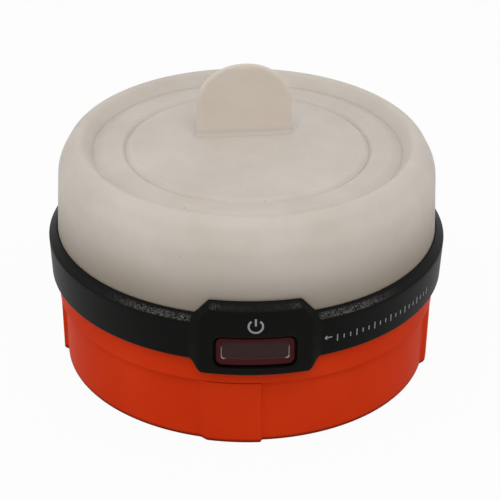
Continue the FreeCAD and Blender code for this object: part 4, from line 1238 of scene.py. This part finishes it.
@dataclass
class PullTab:
    """Upright tab of the globe: a D with an oval crown and soft edges, which flows into the disc."""

    half: float = 12.4
    half_t: float = 1.0
    middle_y: float = 7.2
    turn_deg: float = 4.0
    crown: float = 10.6
    rim: float = 1.6
    fillet: float = 1.2
    slim: float = 0.35
    root_depth: float = 0.8
    root_share: float = 0.6
    sink: float = 0.02
    bend_from: float = 0.2
    bend_to: float = 5.5

    def placed(self, points: np.ndarray) -> np.ndarray:
        """Turns points about Z to the tab's place on the disc."""
        c, s = math.cos(math.radians(self.turn_deg)), math.sin(math.radians(self.turn_deg))
        return points @ np.array([[c, s, 0], [-s, c, 0], [0, 0, 1]])

    def surface(self, disc_top: float, tip: float) -> Skin:
        """Makes the tab from level outlines, stacked from inside the disc to the crown's top.

        An outline is a slot of half width w and half thickness t, with round ends as long as the rim. At
        angle f of the root's hollow quarter circle it stands out by fillet (1 - sin f), at height
        fillet (1 - cos f). On the crown w is half cos g at height crown sin g, and over the last rim's
        height t closes in a quarter circle. From root to tip t shrinks evenly by the slim share.

        Args:
            disc_top: Height of the disc.
            tip: Height of the crown's top.

        Returns:
            The tab's surface, closed inside the disc.
        """
        crown_z = tip - self.crown
        f = np.linspace(0, math.pi / 2, 16)
        g = np.linspace(0, math.pi / 2, 48)[1:]
        side = np.linspace(disc_top + self.fillet, crown_z, 10)[1:]
        height = np.concatenate([
            [disc_top - self.root_depth] * 2, disc_top - self.sink + self.fillet * (1 - np.cos(f)), side,
            crown_z + self.crown * np.sin(g)])[:, None]
        grow = np.concatenate([
            [0.0, self.fillet * self.root_share], self.fillet * (1 - np.sin(f)),
            np.zeros(len(side) + len(g))])[:, None]
        wide = np.concatenate([
            [0.0], np.full(1 + len(f) + len(side), self.half), self.half * np.cos(g)])[:, None]
        over = np.clip((height - tip + self.rim) / self.rim, 0, 1)
        up = np.clip((height - disc_top) / (tip - disc_top), 0, 1)
        thick = self.half_t * (1 - self.slim * up) * np.sqrt(1 - over ** 2)
        thick[0] = 0
        ends = np.linspace(-math.pi / 2, math.pi / 2, 24)
        run = np.linspace(1, -1, 42)[1:-1]
        still = np.zeros_like(run)
        middle = np.concatenate([np.ones_like(ends), run, -np.ones_like(ends), -run])
        out_x = np.concatenate([np.cos(ends), still, -np.cos(ends), still])
        out_y = np.concatenate([np.sin(ends), still + 1, -np.sin(ends), still - 1])
        rim = np.minimum(self.rim, wide)
        x = middle * (wide - rim) + out_x * (rim + grow)
        y = self.middle_y + out_y * (thick + grow)
        points = np.stack([x, y, np.broadcast_to(height, x.shape)], axis=-1)
        return Skin(self.placed(points), wrap_rows=False)

    def build(self) -> bpy.types.Object:
        """Builds the tab, which rides on no body.

        Returns:
            The tab.
        """
        disc_top = box_mm("globe_cap")[1][2]
        tip = box_mm("pull_tab")[1][2]
        piece = make_piece("tab_flap", [self.surface(disc_top, tip)], TAB_SILICONE, None)
        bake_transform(piece)
        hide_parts("pull_tab")
        return piece


@dataclass
class PrintedMarks:
    """Pale pad-printed marks: a power sign on the plate, and an arrow and plain bars on the belt."""

    film: float = 0.03
    stroke: float = 0.5
    sign_z: float = 36.4
    sign_r: float = 1.75
    sign_gap_deg: float = 38.0
    plate_r: float = 52.4
    belt_low: float = 25.4
    belt_low_r: float = 51.4
    belt_slope: float = 0.6 / 10.5
    arrow_deg: float = 19.6
    bar_first_deg: float = 23.4
    bar_last_deg: float = 61.0
    bar_count: int = 19
    bar_halves: tuple[float, ...] = (1.0, 0.6, 0.6)
    bar_stroke: float = 0.3
    arrow_z: float = 30.6
    arrow_runs: tuple[tuple[float, float], ...] = ((1.9, 0.0), (0.6, 0.5), (0.6, -0.5))
    arrow_stroke: float = 0.32
    sign_bar: tuple[float, float] = (0.1, 0.35)
    middle_z: float = 30.0

    def stroke_on(self, path: np.ndarray, radius: np.ndarray, width: float) -> Skin:
        """Carries a thin flat section along a path drawn on the unrolled wall, then rolls it up.

        A path point is an arc length at radius r and a height, so its front angle is length / r.

        Args:
            path: Arc length and height of each path point.
            radius: Radius of the wall at each path point.
            width: Width of the stroke.

        Returns:
            The stroke's surface.
        """
        ahead = np.gradient(path, axis=0)
        ahead /= np.linalg.norm(ahead, axis=1)[:, None]
        side = np.stack([-ahead[:, 1], ahead[:, 0]], axis=1) * width / 2
        corners = [(1, -self.film), (1, self.film), (-1, self.film), (-1, -self.film)]
        rows = []
        for way, lift in corners:
            flat = path + way * side
            angle = flat[:, 0] / radius
            out = radius + lift
            rows.append(np.stack([out * np.sin(angle), -out * np.cos(angle), flat[:, 1]], axis=1))
        return Skin(capped(np.stack(rows)), wrap_columns=False)

    def on_belt(self, points: np.ndarray, width: float) -> Skin:
        """Stroke on the belt's leaning face."""
        radius = self.belt_low_r + (points[:, 1] - self.belt_low) * self.belt_slope
        return self.stroke_on(points, radius, width)

    def build(self) -> list[bpy.types.Object]:
        """Builds the sign, the arrow and the bars.

        Returns:
            The two printed pieces.
        """
        gap = math.radians(self.sign_gap_deg)
        turn = np.linspace(gap, 2 * math.pi - gap, 60)
        arc = np.stack([self.sign_r * np.sin(turn), self.sign_z + self.sign_r * np.cos(turn)], axis=1)
        foot, head = self.sign_bar
        upright = np.linspace(self.sign_z + foot, self.sign_z + self.sign_r + head, 8)
        bar = np.stack([np.zeros(8), upright], axis=1)
        sign = [self.stroke_on(path, np.full(len(path), self.plate_r), self.stroke) for path in (arc, bar)]
        pieces = [make_piece("power_sign", sign, GREY_PRINT, Body.HEAD)]
        tip = math.radians(self.arrow_deg) * self.belt_low_r
        strokes = []
        share = np.linspace(0, 1, 12)
        for dx, dz in self.arrow_runs:
            path = np.stack([tip + dx * share, self.arrow_z + dz * share], axis=1)
            strokes.append(self.on_belt(path, self.arrow_stroke))
        first = math.radians(self.bar_first_deg) * self.belt_low_r
        last = math.radians(self.bar_last_deg) * self.belt_low_r
        for i, length in enumerate(np.linspace(first, last, self.bar_count)):
            half = self.bar_halves[i % len(self.bar_halves)]
            heights = np.linspace(self.middle_z - half, self.middle_z + half, 6)
            strokes.append(self.on_belt(np.stack([np.full(6, length), heights], axis=1), self.bar_stroke))
        pieces.append(make_piece("arrow_and_bars", strokes, GREY_PRINT, Body.HEAD))
        return pieces


@dataclass
class Insides:
    """CAD nodes that keep their shape and get a finish."""

    cells: int = 3

    def dress(self) -> None:
        """Gives every CAD node that stays its finish."""
        finishes = {
            "housing": ORANGE_ABS, "base_seal": NITRILE, "switch_plunger": WHITE_ABS,
            "tact_switch": INNER_ABS, "switch_board": GREEN_BOARD, "indicator_led": LED_YELLOW,
            "led_board": GREEN_BOARD,
            "leds": LED_YELLOW, "reflector": WHITE_ABS, "board_screws": NICKEL, "battery_tray": INNER_ABS,
            "tray_screws": NICKEL, "contact_plates": NICKEL, "contact_springs": NICKEL,
            "globe_clamp": INNER_ABS, "clamp_screws": NICKEL,
            "switch_lead": Rubber("grey_lead_sleeve", "#7C7E80", "#8E9092"),
            "lead_wire_positive": Rubber("red_lead_sleeve", "#8E1512", "#A31D18"),
            "lead_wire_negative": Rubber("black_lead_sleeve", "#151515", "#222222"),
        }
        for i in range(self.cells):
            node = f"aa_cell_{i + 1}"
            low, high = box_mm(node)
            way = 1.0 if i % 2 == 0 else -1.0
            finishes[node] = CellSleeve(f"cell_sleeve_{i + 1}", way, float(low[0] + high[0]) / 2)
        for node, finish in finishes.items():
            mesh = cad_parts[node].data
            mesh.materials.clear()
            mesh.materials.append(finish.material())
            LOG.info("%s: dressed in %s", node, finish.name)


@dataclass
class Studio:
    """Pale floor, soft light and the camera at the photograph's place."""

    target: tuple[float, float, float] = (0.0, 0.0, 25.0)
    distance: float = 550.0
    azimuth_deg: float = -2.72
    elevation_deg: float = 29.2867
    roll_deg: float = 0.48
    focal_px: float = 2059.817
    centre_px: tuple[float, float] = (246.117, 261.967)
    image_px: float = 500.0
    sensor: float = 36.0
    ambient: float = 0.58
    floor_tone: str = "#DAD9D6"
    floor_white: float = 0.95
    floor_half_m: float = 3.0
    clip_m: tuple[float, float] = (0.01, 20.0)
    light_aim_m: tuple[float, float, float] = (0.0, 0.0, 0.03)

    def camera(self) -> None:
        """Places the camera: back along its azimuth and elevation, then rolled about its axis."""
        a, e, roll = (math.radians(x) for x in (self.azimuth_deg, self.elevation_deg, self.roll_deg))
        back = Vector((math.sin(a) * math.cos(e), -math.cos(a) * math.cos(e), math.sin(e)))
        right = Vector((math.cos(a), math.sin(a), 0.0))
        up = back.cross(right)
        tilted_right = right * math.cos(roll) + up * math.sin(roll)
        tilted_up = up * math.cos(roll) - right * math.sin(roll)
        data = bpy.data.cameras.new("photo_camera")
        data.sensor_width = self.sensor
        data.lens = self.sensor * self.focal_px / self.image_px
        data.shift_x = 0.5 - self.centre_px[0] / self.image_px
        data.shift_y = self.centre_px[1] / self.image_px - 0.5
        data.clip_start, data.clip_end = self.clip_m
        camera = bpy.data.objects.new("photo_camera", data)
        bpy.context.scene.collection.objects.link(camera)
        turn = Matrix((tilted_right, tilted_up, back)).transposed()
        place = (Vector(self.target) + back * self.distance) * MM
        camera.matrix_world = Matrix.Translation(place) @ turn.to_4x4()
        bpy.context.scene.camera = camera

    def softbox(self, name: str, place: tuple[float, float, float], size: tuple[float, float],
                power: float) -> None:
        """Adds a rectangular soft light that points at the lantern and stays out of the picture.

        Args:
            name: Name of the light.
            place: Its place in metres.
            size: Its width and height in metres.
            power: Its power in watts.
        """
        data = bpy.data.lights.new(name, "AREA")
        data.shape = "RECTANGLE"
        data.size, data.size_y = size
        data.energy = power
        light = bpy.data.objects.new(name, data)
        light.location = place
        aim = Vector(self.light_aim_m) - Vector(place)
        light.rotation_euler = aim.to_track_quat("-Z", "Y").to_euler()
        light.visible_camera = False
        bpy.context.scene.collection.objects.link(light)

    def seen(self, tree: bpy.types.NodeTree) -> bpy.types.NodeSocket:
        """Tells rays of the camera, of mirrors and of glass from those that only carry light.

        Args:
            tree: The node tree that asks.

        Returns:
            1 for rays that show the background and 0 for the others.
        """
        rays = add(tree, "ShaderNodeLightPath").outputs
        shown = add(tree, "ShaderNodeMath", {"operation": "MAXIMUM"}, {
            0: rays["Is Camera Ray"], 1: rays["Is Glossy Ray"]})
        shown = add(tree, "ShaderNodeMath", {"operation": "MAXIMUM"}, {
            0: shown.outputs["Value"], 1: rays["Is Transmission Ray"]})
        return shown.outputs["Value"]

    def background(self) -> None:
        """Makes the world: white where it is seen directly or mirrored, and a dimmer fill elsewhere."""
        world = bpy.data.worlds.new("studio")
        bpy.context.scene.world = world
        world.use_nodes = True
        tree = world.node_tree
        tree.nodes.clear()
        level = add(tree, "ShaderNodeMapRange", None, {
            "Value": self.seen(tree), "To Min": self.ambient, "To Max": 1.0})
        glow = add(tree, "ShaderNodeBackground", None, {
            "Color": WHITE, "Strength": level.outputs["Result"]})
        add(tree, "ShaderNodeOutputWorld", None, {"Surface": glow.outputs["Background"]})

    def floor(self) -> None:
        """Lays a large pale floor that looks white to the camera but keeps the lantern's shadow."""
        ways = ((-1, -1), (1, -1), (1, 1), (-1, 1))
        corners = [(x * self.floor_half_m, y * self.floor_half_m, 0) for x, y in ways]
        mesh = bpy.data.meshes.new("floor")
        mesh.from_pydata(corners, [], [(0, 1, 2, 3)])
        made = bpy.data.materials.new("studio_floor")
        made.use_nodes = True
        tree = made.node_tree
        tree.nodes.clear()
        share = add(tree, "ShaderNodeMath", {"operation": "MULTIPLY"}, {
            0: self.seen(tree), 1: self.floor_white})
        matt = add(tree, "ShaderNodeBsdfDiffuse", None, {"Color": linear(self.floor_tone)})
        white = add(tree, "ShaderNodeEmission", None, {"Color": WHITE, "Strength": 1.0})
        mixed = add(tree, "ShaderNodeMixShader", None, {
            0: share.outputs["Value"], 1: matt.outputs["BSDF"], 2: white.outputs["Emission"]})
        add(tree, "ShaderNodeOutputMaterial", None, {"Surface": mixed.outputs["Shader"]})
        mesh.materials.append(made)
        floor = bpy.data.objects.new("floor", mesh)
        bpy.context.scene.collection.objects.link(floor)

    def build(self) -> None:
        """Sets up camera, lights, world and floor."""
        self.camera()
        self.softbox("overhead_softbox", (0.0, -0.45, 0.78), (0.8, 0.5), 2.7)
        self.softbox("left_fill", (-0.9, -0.2, 0.4), (0.6, 0.6), 1.15)
        self.softbox("right_fill", (0.9, -0.2, 0.4), (0.6, 0.6), 0.9)
        self.background()
        self.floor()
        bpy.context.scene.view_settings.view_transform = "Standard"


def main() -> None:
    """Sets up the studio, builds the lantern's pieces in order and notes the sizes."""
    logging.basicConfig(level=logging.INFO, format="%(message)s")
    Studio().build()
    pieces = [BaseCup().build(), Belt().build(), *PushButton().build(), *Globe().build()]
    pieces += [PullTab().build(), *PrintedMarks().build()]
    Insides().dress()
    LOG.info("%d new pieces", len(pieces))


if __name__ == "__main__":
    main()
